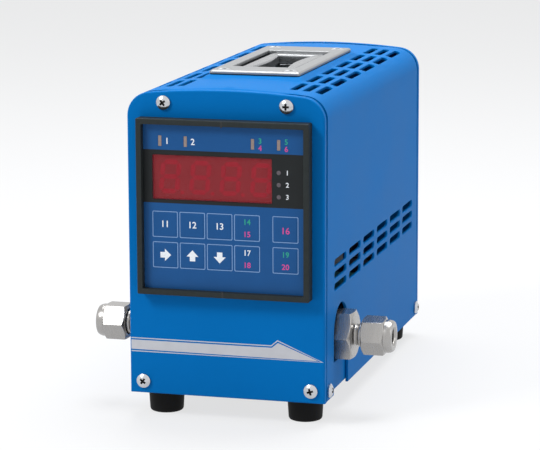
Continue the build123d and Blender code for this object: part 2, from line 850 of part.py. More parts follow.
with BuildPart() as meter_bezel:
    with BuildSketch(across(front_y)):
        with Locations((0, meter_z)):
            Rectangle(meter_size, meter_size)
    extrude(amount=bezel_thickness)
    chamfer(meter_bezel.faces().sort_by(Axis.Y)[0].edges(), bezel_chamfer)
    with BuildSketch(across(bezel_face_y)):
        with Locations((0, meter_z)):
            Rectangle(film_size, film_size)
    extrude(amount=-bezel_recess, mode=Mode.SUBTRACT)
    with BuildSketch(across(front_y)):
        with Locations((0, meter_z)):
            Rectangle(meter_body + 2 * meter_gap, meter_body + 2 * meter_gap)
    extrude(amount=front_y - floor_back_y, mode=Mode.SUBTRACT)
    with BuildSketch(across(floor_back_y)):
        with Locations(window_centre):
            Rectangle(window_width + 2 * led_gap, window_height + 2 * led_gap)
        with Locations(*bar_slots):
            Rectangle(led_bar_width + 2 * led_gap, led_bar_height + 2 * led_gap)
        with Locations(*dot_slots):
            Circle(led_dot_diameter / 2 + led_gap)
    extrude(amount=bezel_floor, mode=Mode.SUBTRACT)
    with BuildSketch(across(bezel_face_y)):
        with Locations((0, meter_z + meter_size / 2), (0, meter_z - meter_size / 2)):
            Rectangle(bezel_notch, 2 * bezel_rim)
    extrude(amount=-bezel_notch / 2, mode=Mode.SUBTRACT)
save(meter_bezel, "meter_bezel")

key_rows = (key_first_z, key_last_z)
key_places = [
    (key_left_margin - film_half + column * key_pitch_x, z)
    for z in key_rows
    for column in range(key_columns)
]
key_places += [(film_half - key_right_margin, z) for z in key_rows]

with BuildPart() as membrane_keypad:
    with BuildSketch(across(floor_face_y)):
        with Locations((0, meter_z)):
            Rectangle(film_size - 2 * meter_gap, film_size - 2 * meter_gap)
        with Locations(window_centre):
            Rectangle(window_width + 2 * led_gap, window_height + 2 * led_gap, mode=Mode.SUBTRACT)
        with Locations(*bar_slots):
            Rectangle(led_bar_width + 2 * led_gap, led_bar_height + 2 * led_gap, mode=Mode.SUBTRACT)
        with Locations(*dot_slots):
            Circle(led_dot_diameter / 2 + led_gap, mode=Mode.SUBTRACT)
    extrude(amount=keypad_thickness)
    with BuildSketch(across(floor_face_y - keypad_thickness)):
        with Locations(*key_places):
            RectangleRounded(key_size, key_size, key_corner)
    extrude(amount=key_emboss)
save(membrane_keypad, "membrane_keypad")

with BuildPart() as meter_window:
    with BuildSketch(across(floor_back_y)):
        with Locations(window_centre):
            Rectangle(window_width, window_height)
    extrude(amount=bezel_floor + keypad_thickness)
    with BuildSketch(across(floor_back_y)):
        with Locations(window_centre):
            Rectangle(window_width + 2 * window_lip, window_height + 2 * window_lip)
    extrude(amount=-window_lip_thickness)
save(meter_window, "meter_window")

display_face_y = floor_back_y + window_lip_thickness + digit_module_depth
display_size = meter_body - 2 * (meter_wall + meter_gap)

with BuildPart() as digit_module:
    with BuildSketch(across(display_face_y)):
        with Locations(window_centre):
            Rectangle(window_width, window_height)
    extrude(amount=digit_module_depth)
save(digit_module, "digit_module")

with BuildPart() as indicator_leds:
    with BuildSketch(across(display_face_y)):
        with Locations(*bar_slots):
            Rectangle(led_bar_width, led_bar_height)
        with Locations(*dot_slots):
            Circle(led_dot_diameter / 2)
    extrude(amount=display_face_y - floor_face_y + keypad_thickness)
save(indicator_leds, "indicator_leds")

with BuildPart() as display_board:
    with BuildSketch(across(display_face_y + board_thickness)):
        with Locations((0, meter_z)):
            Rectangle(display_size, display_size)
    extrude(amount=board_thickness)
save(display_board, "display_board")

with BuildPart() as meter_case:
    with BuildSketch(across(front_y + meter_depth)):
        with Locations((0, meter_z)):
            Rectangle(meter_body, meter_body)
    extrude(amount=front_y + meter_depth - floor_back_y)
    with BuildSketch(across(front_y + meter_depth - meter_wall)):
        with Locations((0, meter_z)):
            Rectangle(meter_body - 2 * meter_wall, meter_body - 2 * meter_wall)
    extrude(amount=meter_depth + bezel_thickness, mode=Mode.SUBTRACT)
save(meter_case, "meter_case")

main_board_y = display_face_y + board_thickness
main_board_depth = front_y + meter_depth - meter_wall - main_board_y
terminal_z = meter_z - meter_body / 2 + terminal_lift
terminal_count = round((meter_body - 2 * terminal_side_space) / terminal_pitch)

with BuildPart() as meter_main_board:
    with BuildSketch(Plane.XY.offset(terminal_z)):
        with Locations((0, main_board_y + main_board_depth / 2)):
            Rectangle(display_size, main_board_depth)
    extrude(amount=-board_thickness)
save(meter_main_board, "meter_main_board")

with BuildPart() as meter_terminals:
    with BuildSketch(across(front_y + meter_depth + terminal_depth)):
        with Locations((0, terminal_z)):
            Rectangle(terminal_count * terminal_pitch, terminal_height)
    extrude(amount=terminal_depth)
    with BuildSketch(across(front_y + meter_depth + terminal_depth)):
        with Locations((0, terminal_z)):
            with GridLocations(terminal_pitch, 1, terminal_count, 1):
                Rectangle(terminal_slot, terminal_height / 2)
    extrude(amount=terminal_depth / 2, mode=Mode.SUBTRACT)
save(meter_terminals, "meter_terminals")

# Clamps: one each side of the meter's case, drawn against the panel's back by a screw
clamp_x = meter_body / 2 + clamp_thickness / 2
with BuildPart() as meter_clamps:
    for side in (-1, 1):
        with BuildSketch(Plane.XY.offset(meter_z - clamp_width / 2)):
            with Locations((side * clamp_x, panel_back_y + clamp_length / 2 + clamp_setback)):
                Rectangle(clamp_thickness, clamp_length)
        extrude(amount=clamp_width)
    with Locations(*(facing(side * clamp_x, panel_back_y, meter_z, (0, -1, 0))
                     for side in (-1, 1))):
        Hole(clamp_screw_diameter / 2, clamp_length / 2)
save(meter_clamps, "meter_clamps")

with BuildPart() as meter_clamp_screws:
    with BuildSketch(across(panel_back_y + clamp_length / 2)):
        for side in (-1, 1):
            with Locations((side * clamp_x, meter_z)):
                Circle(clamp_screw_diameter / 2 - thread_gap)
    extrude(amount=clamp_length / 2)
save(meter_clamp_screws, "meter_clamp_screws")

# Flow line: block, laminar element, adapters, nuts and ferrules on one axis across the case
block_front_y = flow_y - block_depth / 2
block_rear_y = block_front_y + block_depth
block_bottom_z = flow_z - block_height / 2
spacer_height = block_bottom_z - floor_z - chassis_sheet
port_floor = block_length / 2 - port_depth
seal_start = adapter_hex_start - sheet_gap - seal_length
port_radius = port_thread_diameter / 2
tube_radius = tube_diameter / 2 + tube_gap


def on_flow_axis(part, side):
    """Moves a piece made along +X from the origin to the flow axis, pointing to the given side."""
    return Pos(0, flow_y, flow_z) * Rot(0, 0, 0 if side > 0 else 180) * part


with BuildPart() as flow_block:
    with BuildSketch(Plane.XY.offset(block_bottom_z)):
        with Locations((0, flow_y)):
            Rectangle(block_length, block_depth)
    extrude(amount=block_height)
    chamfer(flow_block.edges().filter_by(Axis.X), block_edge)
    with Locations(facing(block_length, flow_y, flow_z, (1, 0, 0))):
        Hole(bypass_diameter / 2, 2 * block_length)
    for side in (-1, 1):
        with BuildSketch(facing(side * block_length / 2, flow_y, flow_z, (side, 0, 0))):
            Circle(port_radius)
        extrude(amount=-port_depth, mode=Mode.SUBTRACT)
        with BuildSketch(facing(side * block_length / 2, flow_y, flow_z, (side, 0, 0))):
            Circle(port_radius + seal_width + sheet_gap)
        extrude(amount=seal_start - block_length / 2, mode=Mode.SUBTRACT)
    with Locations(*(facing(x, block_rear_y, flow_z, (0, 1, 0))
                     for x in (-sensor_port_spacing / 2, sensor_port_spacing / 2))):
        Hole(sensor_tube_diameter / 2 + tube_gap, block_depth / 2)
    with Locations(*(facing(x, flow_y, block_bottom_z, (0, 0, -1))
                     for x in (-block_screw_spacing_x / 2, block_screw_spacing_x / 2))):
        Hole(tapped_hole, block_hole_depth)
save(flow_block, "flow_block")

with BuildPart() as laminar_element:
    with BuildSketch(Plane.YZ.offset(-element_length / 2)):
        with Locations((flow_y, flow_z)):
            Circle(bypass_diameter / 2 - element_gap)
            with PolarLocations(bypass_diameter / 2, element_slots):
                Rectangle(2 * element_slot_depth, element_slot_width, mode=Mode.SUBTRACT)
    extrude(amount=element_length)
save(laminar_element, "laminar_element")

# A tube adapter: block thread, hexagon, neck, collar and nut thread, bored for the tube
hex_corner = adapter_hex / sqrt(3)
adapter_bevel = (hex_corner - adapter_hex / 2) * tan(radians(corner_chamfer))
with BuildPart() as adapter:
    with BuildSketch(Plane.YZ.offset(adapter_hex_start)):
        RegularPolygon(adapter_hex / 2, 6, major_radius=False)
    extrude(amount=adapter_hex_length)
    with BuildSketch():
        with BuildLine():
            Polyline(
                (adapter_hex_start, 0),
                (adapter_hex_start, adapter_hex / 2),
                (adapter_hex_start + adapter_bevel, hex_corner),
                (adapter_hex_end - adapter_bevel, hex_corner),
                (adapter_hex_end, adapter_hex / 2),
                (adapter_hex_end, 0),
                close=True,
            )
        make_face()
    revolve(axis=Axis.X, mode=Mode.INTERSECT)
    with BuildSketch():
        with BuildLine():
            Polyline(
                (port_floor + adapter_stub_gap, 0),
                (port_floor + adapter_stub_gap, port_radius - thread_gap),
                (adapter_hex_start + adapter_hex_length / 2, port_radius - thread_gap),
                (adapter_hex_start + adapter_hex_length / 2, adapter_neck_diameter / 2),
                (adapter_collar_start, adapter_neck_diameter / 2),
                (adapter_collar_start, adapter_collar_diameter / 2),
                (nut_start, adapter_collar_diameter / 2),
                (nut_start, adapter_thread_diameter / 2 - thread_gap),
                (adapter_thread_end, adapter_thread_diameter / 2 - thread_gap),
                (adapter_thread_end, 0),
                close=True,
            )
        make_face()
    revolve(axis=Axis.X)
    with BuildSketch():
        with BuildLine():
            Polyline(
                (port_floor, 0),
                (port_floor, passage_diameter / 2),
                (tube_socket_start, passage_diameter / 2),
                (tube_socket_start, tube_radius),
                (adapter_thread_end - ferrule_seat, tube_radius),
                (adapter_thread_end, tube_radius + ferrule_seat * tan(radians(ferrule_angle))),
                (adapter_thread_end, 0),
                close=True,
            )
        make_face()
    revolve(axis=Axis.X, mode=Mode.SUBTRACT)

for name, side in (("inlet_adapter", -1), ("outlet_adapter", 1)):
    with BuildPart() as placed_adapter:
        add(on_flow_axis(adapter.part, side))
    save(placed_adapter, name)

with BuildPart() as adapter_seals:
    for side in (-1, 1):
        with BuildSketch(facing(side * (seal_start + sheet_gap / 2), flow_y, flow_z, (side, 0, 0))):
            Circle(port_radius + seal_width)
            Circle(port_radius + thread_gap, mode=Mode.SUBTRACT)
        extrude(amount=seal_length)
save(adapter_seals, "adapter_seals")

# Ferrules: a cone that wedges between tube and adapter, and a ring behind it
ferrule_nose = adapter_thread_end - ferrule_seat + ferrule_gap
ferrule_back = ferrule_nose + ferrule_length
ferrule_inner = tube_radius + ferrule_nose_wall
ferrule_outer = ferrule_inner + ferrule_length * tan(radians(ferrule_angle))

with BuildPart() as ferrule_cone:
    with BuildSketch():
        with BuildLine():
            Polyline(
                (ferrule_nose, tube_radius),
                (ferrule_back, tube_radius),
                (ferrule_back, ferrule_outer),
                (ferrule_nose, ferrule_inner),
                close=True,
            )
        make_face()
    revolve(axis=Axis.X)

with BuildPart() as front_ferrules:
    for side in (-1, 1):
        add(on_flow_axis(ferrule_cone.part, side))
save(front_ferrules, "front_ferrules")

with BuildPart() as back_ferrules:
    for side in (-1, 1):
        with BuildSketch(facing(side * (ferrule_back + thread_gap), flow_y, flow_z, (side, 0, 0))):
            Circle(ferrule_outer)
            Circle(tube_radius, mode=Mode.SUBTRACT)
        extrude(amount=ferrule_back_length)
save(back_ferrules, "back_ferrules")

# Nuts: a hexagon with chamfered corners that runs into a turned, rounded end
nut_shoulder = ferrule_back + ferrule_back_length + 2 * thread_gap
nut_corner = nut_hex / sqrt(3)
nut_bevel = (nut_corner - nut_hex / 2) * tan(radians(corner_chamfer))


def fitting_nut(turn):
    """A tube nut along +X, with its hexagon turned by turn degrees."""
    with BuildPart() as nut:
        with BuildSketch(Plane.YZ.offset(nut_start)):
            RegularPolygon(nut_hex / 2, 6, major_radius=False, rotation=turn)
        extrude(amount=nut_hex_end - nut_start)
        with BuildSketch():
            with BuildLine():
                Polyline(
                    (nut_start, 0),
                    (nut_start, nut_hex / 2),
                    (nut_start + nut_bevel, nut_corner),
                    (nut_hex_end - nut_bevel, nut_corner),
                    (nut_hex_end, nut_hex / 2),
                    (nut_hex_end, 0),
                    close=True,
                )
            make_face()
        revolve(axis=Axis.X, mode=Mode.INTERSECT)
        with BuildSketch():
            with BuildLine():
                Line((nut_hex_end - 1, 0), (nut_hex_end - 1, nut_turned_diameter / 2))
                Line((nut_hex_end - 1, nut_turned_diameter / 2), (nut_hex_end, nut_turned_diameter / 2))
                RadiusArc(
                    (nut_hex_end, nut_turned_diameter / 2), (nut_end, nut_face_diameter / 2), nut_hex / 2
                )
                Line((nut_end, nut_face_diameter / 2), (nut_end, 0))
                Line((nut_end, 0), (nut_hex_end - 1, 0))
            make_face()
        revolve(axis=Axis.X)
        with BuildSketch():
            with BuildLine():
                Polyline(
                    (nut_start, 0),
                    (nut_start, adapter_thread_diameter / 2),
                    (nut_shoulder, adapter_thread_diameter / 2),
                    (nut_shoulder, tube_radius),
                    (nut_end - nut_chamfer, tube_radius),
                    (nut_end, tube_radius + nut_chamfer),
                    (nut_end, 0),
                    close=True,
                )
            make_face()
        revolve(axis=Axis.X, mode=Mode.SUBTRACT)
    return nut.part


for name, side, turn in (("inlet_nut", -1, inlet_nut_turn), ("outlet_nut", 1, -outlet_nut_turn)):
    with BuildPart() as placed_nut:
        add(on_flow_axis(fitting_nut(turn), side))
    save(placed_nut, name)

# Sensor: a housing on the block's rear face, a bent capillary and a board above
sensor_rear_y = block_rear_y + sensor_depth
with BuildPart() as sensor_housing:
    with BuildSketch(across(sensor_rear_y)):
        with Locations((0, flow_z)):
            Rectangle(sensor_length, sensor_height)
    extrude(amount=sensor_depth)
    with BuildSketch(across(sensor_rear_y)):
        with Locations((0, flow_z)):
            Rectangle(sensor_length - 2 * sensor_wall, sensor_height - 2 * sensor_wall)
    extrude(amount=sensor_depth - sensor_wall, mode=Mode.SUBTRACT)
    with Locations(*(facing(x, sensor_rear_y, flow_z, (0, 1, 0))
                     for x in (-sensor_port_spacing / 2, sensor_port_spacing / 2))):
        Hole(sensor_tube_diameter / 2 + tube_gap, sensor_depth)
save(sensor_housing, "sensor_housing")

with BuildPart() as sensor_lid_plate:
    with BuildSketch(across(sensor_rear_y + sensor_lid)):
        with Locations((0, flow_z)):
            Rectangle(sensor_length, sensor_height)
    extrude(amount=sensor_lid)
save(sensor_lid_plate, "sensor_lid")

tube_bend = 2 * sensor_tube_diameter
with BuildPart() as sensor_tube:
    with BuildLine() as tube_path:
        FilletPolyline(
            (-sensor_port_spacing / 2, block_rear_y - sensor_tube_root, flow_z),
            (-sensor_port_spacing / 2, block_rear_y + sensor_tube_reach, flow_z),
            (sensor_port_spacing / 2, block_rear_y + sensor_tube_reach, flow_z),
            (sensor_port_spacing / 2, block_rear_y - sensor_tube_root, flow_z),
            radius=tube_bend,
        )
    with BuildSketch(Plane(origin=tube_path.line @ 0, z_dir=tube_path.line % 0)):
        Circle(sensor_tube_diameter / 2)
    sweep()
save(sensor_tube, "sensor_tube")

board_z = flow_z + sensor_height / 2 + sensor_board_lift
board_y = block_rear_y + sensor_board_width / 2 + sensor_board_setback
sensor_board_length = block_length - 2 * sensor_board_inset
plug_y = board_y + sensor_board_width / 2 - sensor_plug_inset
pillar_x = sensor_length / 2 - sensor_pillar_inset
pillar_y = block_rear_y + sensor_pillar_inset + sensor_board_setback
with BuildPart() as sensor_board:
    with BuildSketch(Plane.XY.offset(board_z)):
        with Locations((0, board_y)):
            Rectangle(sensor_board_length, sensor_board_width)
    extrude(amount=board_thickness)
save(sensor_board, "sensor_board")

with BuildPart() as sensor_board_pillars:
    with BuildSketch(Plane.XY.offset(board_z)):
        with Locations((-pillar_x, pillar_y), (pillar_x, pillar_y)):
            RegularPolygon(sensor_pillar_radius, 6)
    extrude(amount=-sensor_board_lift)
save(sensor_board_pillars, "sensor_board_pillars")

with BuildPart() as sensor_plug:
    with BuildSketch(Plane.XY.offset(board_z + board_thickness)):
        with Locations((0, plug_y)):
            Rectangle(sensor_plug_length, sensor_plug_width)
    extrude(amount=sensor_plug_height)
    with BuildSketch(Plane.XY.offset(board_z + board_thickness + sensor_plug_height)):
        with Locations((0, plug_y)):
            Rectangle(sensor_plug_length - 2 * sensor_plug_wall, sensor_plug_width - 2 * sensor_plug_wall)
    extrude(amount=sensor_plug_wall - sensor_plug_height, mode=Mode.SUBTRACT)
save(sensor_plug, "sensor_plug")

with BuildPart() as block_spacers:
    with BuildSketch(Plane.XY.offset(floor_z + chassis_sheet)):
        with Locations(*((x, flow_y) for x in (-block_screw_spacing_x / 2, block_screw_spacing_x / 2))):
            RegularPolygon(spacer_diameter / 2, 6)
            Circle(case_hole, mode=Mode.SUBTRACT)
    extrude(amount=spacer_height)
save(block_spacers, "block_spacers")

with BuildPart() as block_screws:
    with Locations(*(facing(x, flow_y, floor_z, (0, 0, -1))
                     for x in (-block_screw_spacing_x / 2, block_screw_spacing_x / 2))):
        add(plain_screw(screw_diameter, screw_head_diameter, screw_head_height,
                        chassis_sheet + spacer_height + block_screw_depth))
save(block_screws, "block_screws")

# Power supply: a board on pillars, with transformer, capacitors, heat sink, fuse and terminals
supply_z = floor_z + chassis_sheet + standoff_height
supply_top_z = supply_z + board_thickness

with BuildPart() as supply_board:
    with BuildSketch(Plane.XY.offset(supply_z)):
        with Locations((0, supply_centre_y)):
            Rectangle(supply_length, supply_width)
            with GridLocations(2 * supply_screw_x, 2 * supply_screw_y, 2, 2):
                Circle(tapped_hole, mode=Mode.SUBTRACT)
    extrude(amount=board_thickness)
save(supply_board, "supply_board")

with BuildPart() as supply_pillars:
    with BuildSketch(Plane.XY.offset(floor_z + chassis_sheet)):
        with Locations((0, supply_centre_y)):
            with GridLocations(2 * supply_screw_x, 2 * supply_screw_y, 2, 2):
                RegularPolygon(standoff_size / 2, 6)
    extrude(amount=standoff_height)
    with BuildSketch(Plane.XY.offset(floor_z)):
        with Locations((0, supply_centre_y)):
            with GridLocations(2 * supply_screw_x, 2 * supply_screw_y, 2, 2):
                RegularPolygon(tapped_hole - thread_gap, 6)
    extrude(amount=supply_top_z + pillar_stub - floor_z)
save(supply_pillars, "supply_pillars")

capacitor_room = capacitor_inset + capacitor_diameter + core_capacitor_space
core_length = supply_length - transformer_inset - capacitor_room
transformer_x = -supply_length / 2 + core_length / 2 + transformer_inset
transformer_y = supply_centre_y + transformer_shift_y
core_bottom_z = supply_top_z + core_seat
core_window_z = core_bottom_z + (core_height - coil_height) / 2
core_window_x = core_leg / 2 + core_window / 2

with BuildPart() as transformer_core:
    with BuildSketch(across(transformer_y + core_width / 2)):
        with Locations((transformer_x, core_bottom_z + core_height / 2)):
            Rectangle(core_length, core_height)
            with Locations((-core_window_x, 0), (core_window_x, 0)):
                Rectangle(core_window, coil_height, mode=Mode.SUBTRACT)
    extrude(amount=core_width)
    with BuildSketch(Plane.XY.offset(core_bottom_z)):
        with Locations((transformer_x, transformer_y)):
            Rectangle(core_leg, core_width)
    extrude(amount=-core_seat)
save(transformer_core, "transformer_core")

with BuildPart() as transformer_coil:
    with BuildSketch(Plane.XY.offset(core_window_z + sheet_gap)):
        with Locations((transformer_x, transformer_y)):
            RectangleRounded(core_leg + 2 * (core_window - sheet_gap), coil_width, coil_corner)
            Rectangle(core_leg + 2 * sheet_gap, core_width + 2 * sheet_gap, mode=Mode.SUBTRACT)
    extrude(amount=coil_height - 2 * sheet_gap)
save(transformer_coil, "transformer_coil")

capacitor_x = supply_length / 2 - capacitor_diameter / 2 - capacitor_inset
with BuildPart() as filter_capacitors:
    with BuildSketch(Plane.XY.offset(supply_top_z)):
        with Locations(
            (capacitor_x, supply_centre_y), (capacitor_x, supply_centre_y + capacitor_spacing)
        ):
            Circle(capacitor_diameter / 2)
    extrude(amount=capacitor_height)
save(filter_capacitors, "filter_capacitors")

sink_left_x = transformer_x + fuse_length / 2 + sink_fuse_space
sink_right_x = supply_length / 2 - sink_inset_x
sink_length = sink_right_x - sink_left_x
sink_x = (sink_left_x + sink_right_x) / 2
sink_y = supply_centre_y - supply_width / 2 + sink_inset_y
with BuildPart() as heat_sink:
    with BuildSketch(Plane.XY.offset(supply_top_z)):
        with Locations((sink_x, sink_y)):
            Rectangle(sink_length, sink_plate, align=(Align.CENTER, Align.MAX))
            with GridLocations(sink_length / sink_fins, 1, sink_fins, 1):
                Rectangle(sink_fin_thickness, sink_fin_depth, align=(Align.CENTER, Align.MIN))
    extrude(amount=sink_height)
save(heat_sink, "heat_sink")

with BuildPart() as voltage_regulator:
    with BuildSketch(Plane.XY.offset(supply_top_z + regulator_lift)):
        with Locations((sink_x, sink_y - sink_plate)):
            Rectangle(regulator_width, regulator_thickness, align=(Align.CENTER, Align.MAX))
    extrude(amount=regulator_height)
    with BuildSketch(Plane.XY.offset(supply_top_z)):
        with Locations((sink_x, sink_y - sink_plate - regulator_thickness / 2)):
            with GridLocations(regulator_lead_pitch, 1, 3, 1):
                Rectangle(regulator_lead, regulator_lead)
    extrude(amount=regulator_lift)
save(voltage_regulator, "voltage_regulator")

fuse_y = supply_centre_y - supply_width / 2 + fuse_inset
fuse_z = supply_top_z + fuse_lift
clip_x = fuse_length / 2 - fuse_clip_width
with BuildPart() as fuse:
    with BuildSketch(Plane.YZ.offset(transformer_x - fuse_length / 2)):
        with Locations((fuse_y, fuse_z)):
            Circle(fuse_diameter / 2)
    extrude(amount=fuse_length)
save(fuse, "fuse")

with BuildPart() as fuse_clips:
    for x in (transformer_x - clip_x, transformer_x + clip_x):
        with BuildSketch(Plane.YZ.offset(x - fuse_clip_width / 2)):
            with Locations((fuse_y, supply_top_z)):
                Rectangle(
                    fuse_diameter + 2 * fuse_clip_wall,
                    fuse_lift + fuse_clip_rise,
                    align=(Align.CENTER, Align.MIN),
                )
            with Locations((fuse_y, fuse_z - fuse_diameter / 2)):
                Rectangle(fuse_diameter, fuse_lift + fuse_diameter, align=(Align.CENTER, Align.MIN),
                          mode=Mode.SUBTRACT)
        extrude(amount=fuse_clip_width)
save(fuse_clips, "fuse_clips")

# Mains inlet: flange, body and cavity in one moulding, with three flat pins
inlet_face_y = rear_y + inlet_flange
pin_places = (
    (-pin_spread / 2, inlet_centre_z - pin_offset / 2),
    (pin_spread / 2, inlet_centre_z - pin_offset / 2),
    (0, inlet_centre_z + pin_offset / 2),
)
with BuildPart() as mains_inlet:
    with BuildSketch(across(inlet_face_y)):
        with Locations((0, inlet_centre_z)):
            RectangleRounded(inlet_width, inlet_height, inlet_corner)
    extrude(amount=inlet_flange)
    with BuildSketch(across(rear_y)):
        with Locations((0, inlet_centre_z)):
            Rectangle(inlet_body_width, inlet_body_height)
    extrude(amount=inlet_depth)
    with BuildSketch(across(inlet_face_y)):
        with Locations((0, inlet_centre_z)):
            cavity = Rectangle(inlet_cavity_width, inlet_cavity_height)
        chamfer(cavity.vertices().group_by(Axis.Z)[-1], inlet_cavity_corner)
    extrude(amount=inlet_cavity_depth, mode=Mode.SUBTRACT)
    with Locations(*(facing(x, inlet_face_y, inlet_centre_z, (0, 1, 0))
                     for x in (-inlet_screw_spacing / 2, inlet_screw_spacing / 2))):
        Hole(case_hole, inlet_flange)
    with BuildSketch(across(rear_y)):
        with Locations(*pin_places):
            Rectangle(pin_thick, pin_width)
    extrude(amount=inlet_depth, mode=Mode.SUBTRACT)
save(mains_inlet, "mains_inlet")

with BuildPart() as mains_pins:
    with BuildSketch(across(inlet_face_y - pin_setback_y)):
        with Locations(*pin_places):
            Rectangle(pin_thick, pin_width)
    extrude(amount=inlet_depth + inlet_flange - pin_setback_y + pin_tail)
save(mains_pins, "mains_pins")

# Power switch: a housing with a flange, and a rocker that tips about the trunnions on its sides
switch_face_y = rear_y + switch_flange
rocker_pivot_y = rear_y - rocker_setback
rocker_radius = rocker_height / 2
trunnion_reach = rocker_width / 2 + rocker_gap + trunnion_length

with BuildPart() as power_switch_body:
    with BuildSketch(across(switch_face_y)):
        with Locations((switch_x, switch_centre_z)):
            RectangleRounded(switch_width, switch_height, switch_corner)
    extrude(amount=switch_flange)
    with BuildSketch(across(rear_y)):
        with Locations((switch_x, switch_centre_z)):
            Rectangle(switch_width - 2 * switch_flange, switch_height - switch_flange)
    extrude(amount=switch_depth)
    with BuildSketch(across(switch_face_y)):
        with Locations((switch_x, switch_centre_z)):
            Rectangle(rocker_width + 2 * rocker_gap, rocker_height + 2 * rocker_gap)
    extrude(amount=switch_depth, mode=Mode.SUBTRACT)
    with Locations(facing(switch_x + trunnion_reach + pin_gap, rocker_pivot_y, switch_centre_z, (1, 0, 0))):
        Hole(trunnion_diameter / 2 + pin_gap, 2 * (trunnion_reach + pin_gap))
save(power_switch_body, "power_switch_body")

# The rocker's ends are arcs about the pivot, and its face is two flats that meet in a shallow valley
valley_rise = rocker_radius * tan(radians(rocker_tilt))
rocker_plane = Plane(
    origin=(switch_x, rocker_pivot_y, switch_centre_z),
    x_dir=(0, cos(radians(rocker_tilt)), -sin(radians(rocker_tilt))),
    z_dir=(1, 0, 0),
)

with BuildPart() as power_switch_rocker:
    with BuildSketch(rocker_plane.offset(-rocker_width / 2)):
        Circle(rocker_radius)
        with BuildLine():
            Polyline(
                (-rocker_back, -rocker_radius),
                (rocker_face + valley_rise, -rocker_radius),
                (rocker_face, 0),
                (rocker_face + valley_rise, rocker_radius),
                (-rocker_back, rocker_radius),
                close=True,
            )
        make_face(mode=Mode.INTERSECT)
    extrude(amount=rocker_width)
    with BuildSketch(rocker_plane.offset(-trunnion_reach)):
        Circle(trunnion_diameter / 2)
    extrude(amount=2 * trunnion_reach)
save(power_switch_rocker, "power_switch_rocker")

# Signal connector: a flange, a keyed shell with nine sockets, and a body through the panel
signal_face_y = rear_y + signal_shell_length
upper_row = [(x - (socket_columns - 1) / 2) * socket_pitch for x in range(socket_columns)]
lower_row = [(x - (socket_columns - 2) / 2) * socket_pitch for x in range(socket_columns - 1)]

with BuildPart() as signal_connector:
    with BuildSketch(across(rear_y + signal_flange)):
        with Locations((0, signal_centre_z)):
            RectangleRounded(signal_width, signal_height, signal_corner)
    extrude(amount=signal_flange)
    with BuildSketch(across(signal_face_y)) as keyed_shell:
        with Locations((0, signal_centre_z)):
            Trapezoid(signal_shell_width, signal_shell_height, signal_shell_angle, rotation=180)
        fillet(keyed_shell.vertices(), signal_corner)
    extrude(amount=signal_shell_length)
    with BuildSketch(across(rear_y)):
        with Locations((0, signal_centre_z)):
            Rectangle(signal_shell_width, signal_shell_height)
    extrude(amount=signal_body_depth)
    with BuildSketch(across(signal_face_y)):
        with Locations(*((x, signal_centre_z + socket_pitch / 2) for x in upper_row)):
            Rectangle(socket_size, socket_size)
        with Locations(*((x, signal_centre_z - socket_pitch / 2) for x in lower_row)):
            Rectangle(socket_size, socket_size)
    extrude(amount=socket_depth, mode=Mode.SUBTRACT)
    with Locations(*(facing(x, rear_y + signal_flange, signal_centre_z, (0, 1, 0))
                     for x in (-signal_spacing / 2, signal_spacing / 2))):
        Hole(case_hole, signal_flange)
save(signal_connector, "signal_connector")

with BuildPart() as signal_posts:
    for x in (-signal_spacing / 2, signal_spacing / 2):
        with BuildSketch(across(signal_face_y)):
            with Locations((x, signal_centre_z)):
                RegularPolygon(post_hex / 2, 6, major_radius=False)
                Circle(post_bore / 2, mode=Mode.SUBTRACT)
        extrude(amount=signal_shell_length - signal_flange)
        with BuildSketch(across(rear_y + signal_flange + post_floor)):
            with Locations((x, signal_centre_z)):
                Circle(screw_diameter / 2 - thread_gap)
        extrude(amount=post_floor + signal_flange + post_thread)
save(signal_posts, "signal_posts")
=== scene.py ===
"""Looks of a bench mass flow meter: blue sheet-metal case, panel meter, folding handle, tube fittings.

Sizes are in millimetres in the part's frame (+X right from the front, +Y back, +Z up).
They become metres where a mesh is made.
"""

import math

import bmesh
import bpy
import numpy as np
from mathutils import Matrix, Vector
from mathutils.geometry import delaunay_2d_cdt


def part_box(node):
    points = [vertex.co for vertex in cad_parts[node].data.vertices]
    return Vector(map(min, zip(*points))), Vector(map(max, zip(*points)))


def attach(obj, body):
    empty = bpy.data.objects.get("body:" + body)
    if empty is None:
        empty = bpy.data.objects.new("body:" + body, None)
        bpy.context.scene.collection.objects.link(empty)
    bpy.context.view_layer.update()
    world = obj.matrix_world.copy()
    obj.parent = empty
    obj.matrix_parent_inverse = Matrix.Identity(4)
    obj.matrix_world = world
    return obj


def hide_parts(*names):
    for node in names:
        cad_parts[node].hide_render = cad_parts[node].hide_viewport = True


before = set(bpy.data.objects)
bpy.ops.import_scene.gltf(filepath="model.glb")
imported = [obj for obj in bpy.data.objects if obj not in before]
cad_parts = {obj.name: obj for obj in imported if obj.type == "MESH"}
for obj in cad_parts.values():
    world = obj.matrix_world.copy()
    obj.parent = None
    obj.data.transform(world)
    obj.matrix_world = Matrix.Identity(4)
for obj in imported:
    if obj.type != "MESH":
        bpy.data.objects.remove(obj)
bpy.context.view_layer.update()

MM = 0.001
BODY = "meter"
RING = "handle_ring"
ROCKER = "rocker"


# Sizes that the frame gives

def node_box(node):
    """Lowest and highest corner of a CAD node, in millimetres."""
    low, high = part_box(node)
    return low / MM, high / MM


panel_low, panel_high = node_box("front_panel")
rear_high = node_box("rear_panel")[1]
cover_low, cover_high = node_box("cover")
bezel_low, bezel_high = node_box("meter_bezel")
film_low = node_box("membrane_keypad")[0]
plate_high = node_box("handle_body")[1]
gasket_low, gasket_high = node_box("handle_gasket")
bail_low, bail_high = node_box("handle_bail")
foot_low, foot_high = node_box("foot_front_left")
inlet_high = node_box("mains_inlet")[1]
block_low, block_high = node_box("flow_block")

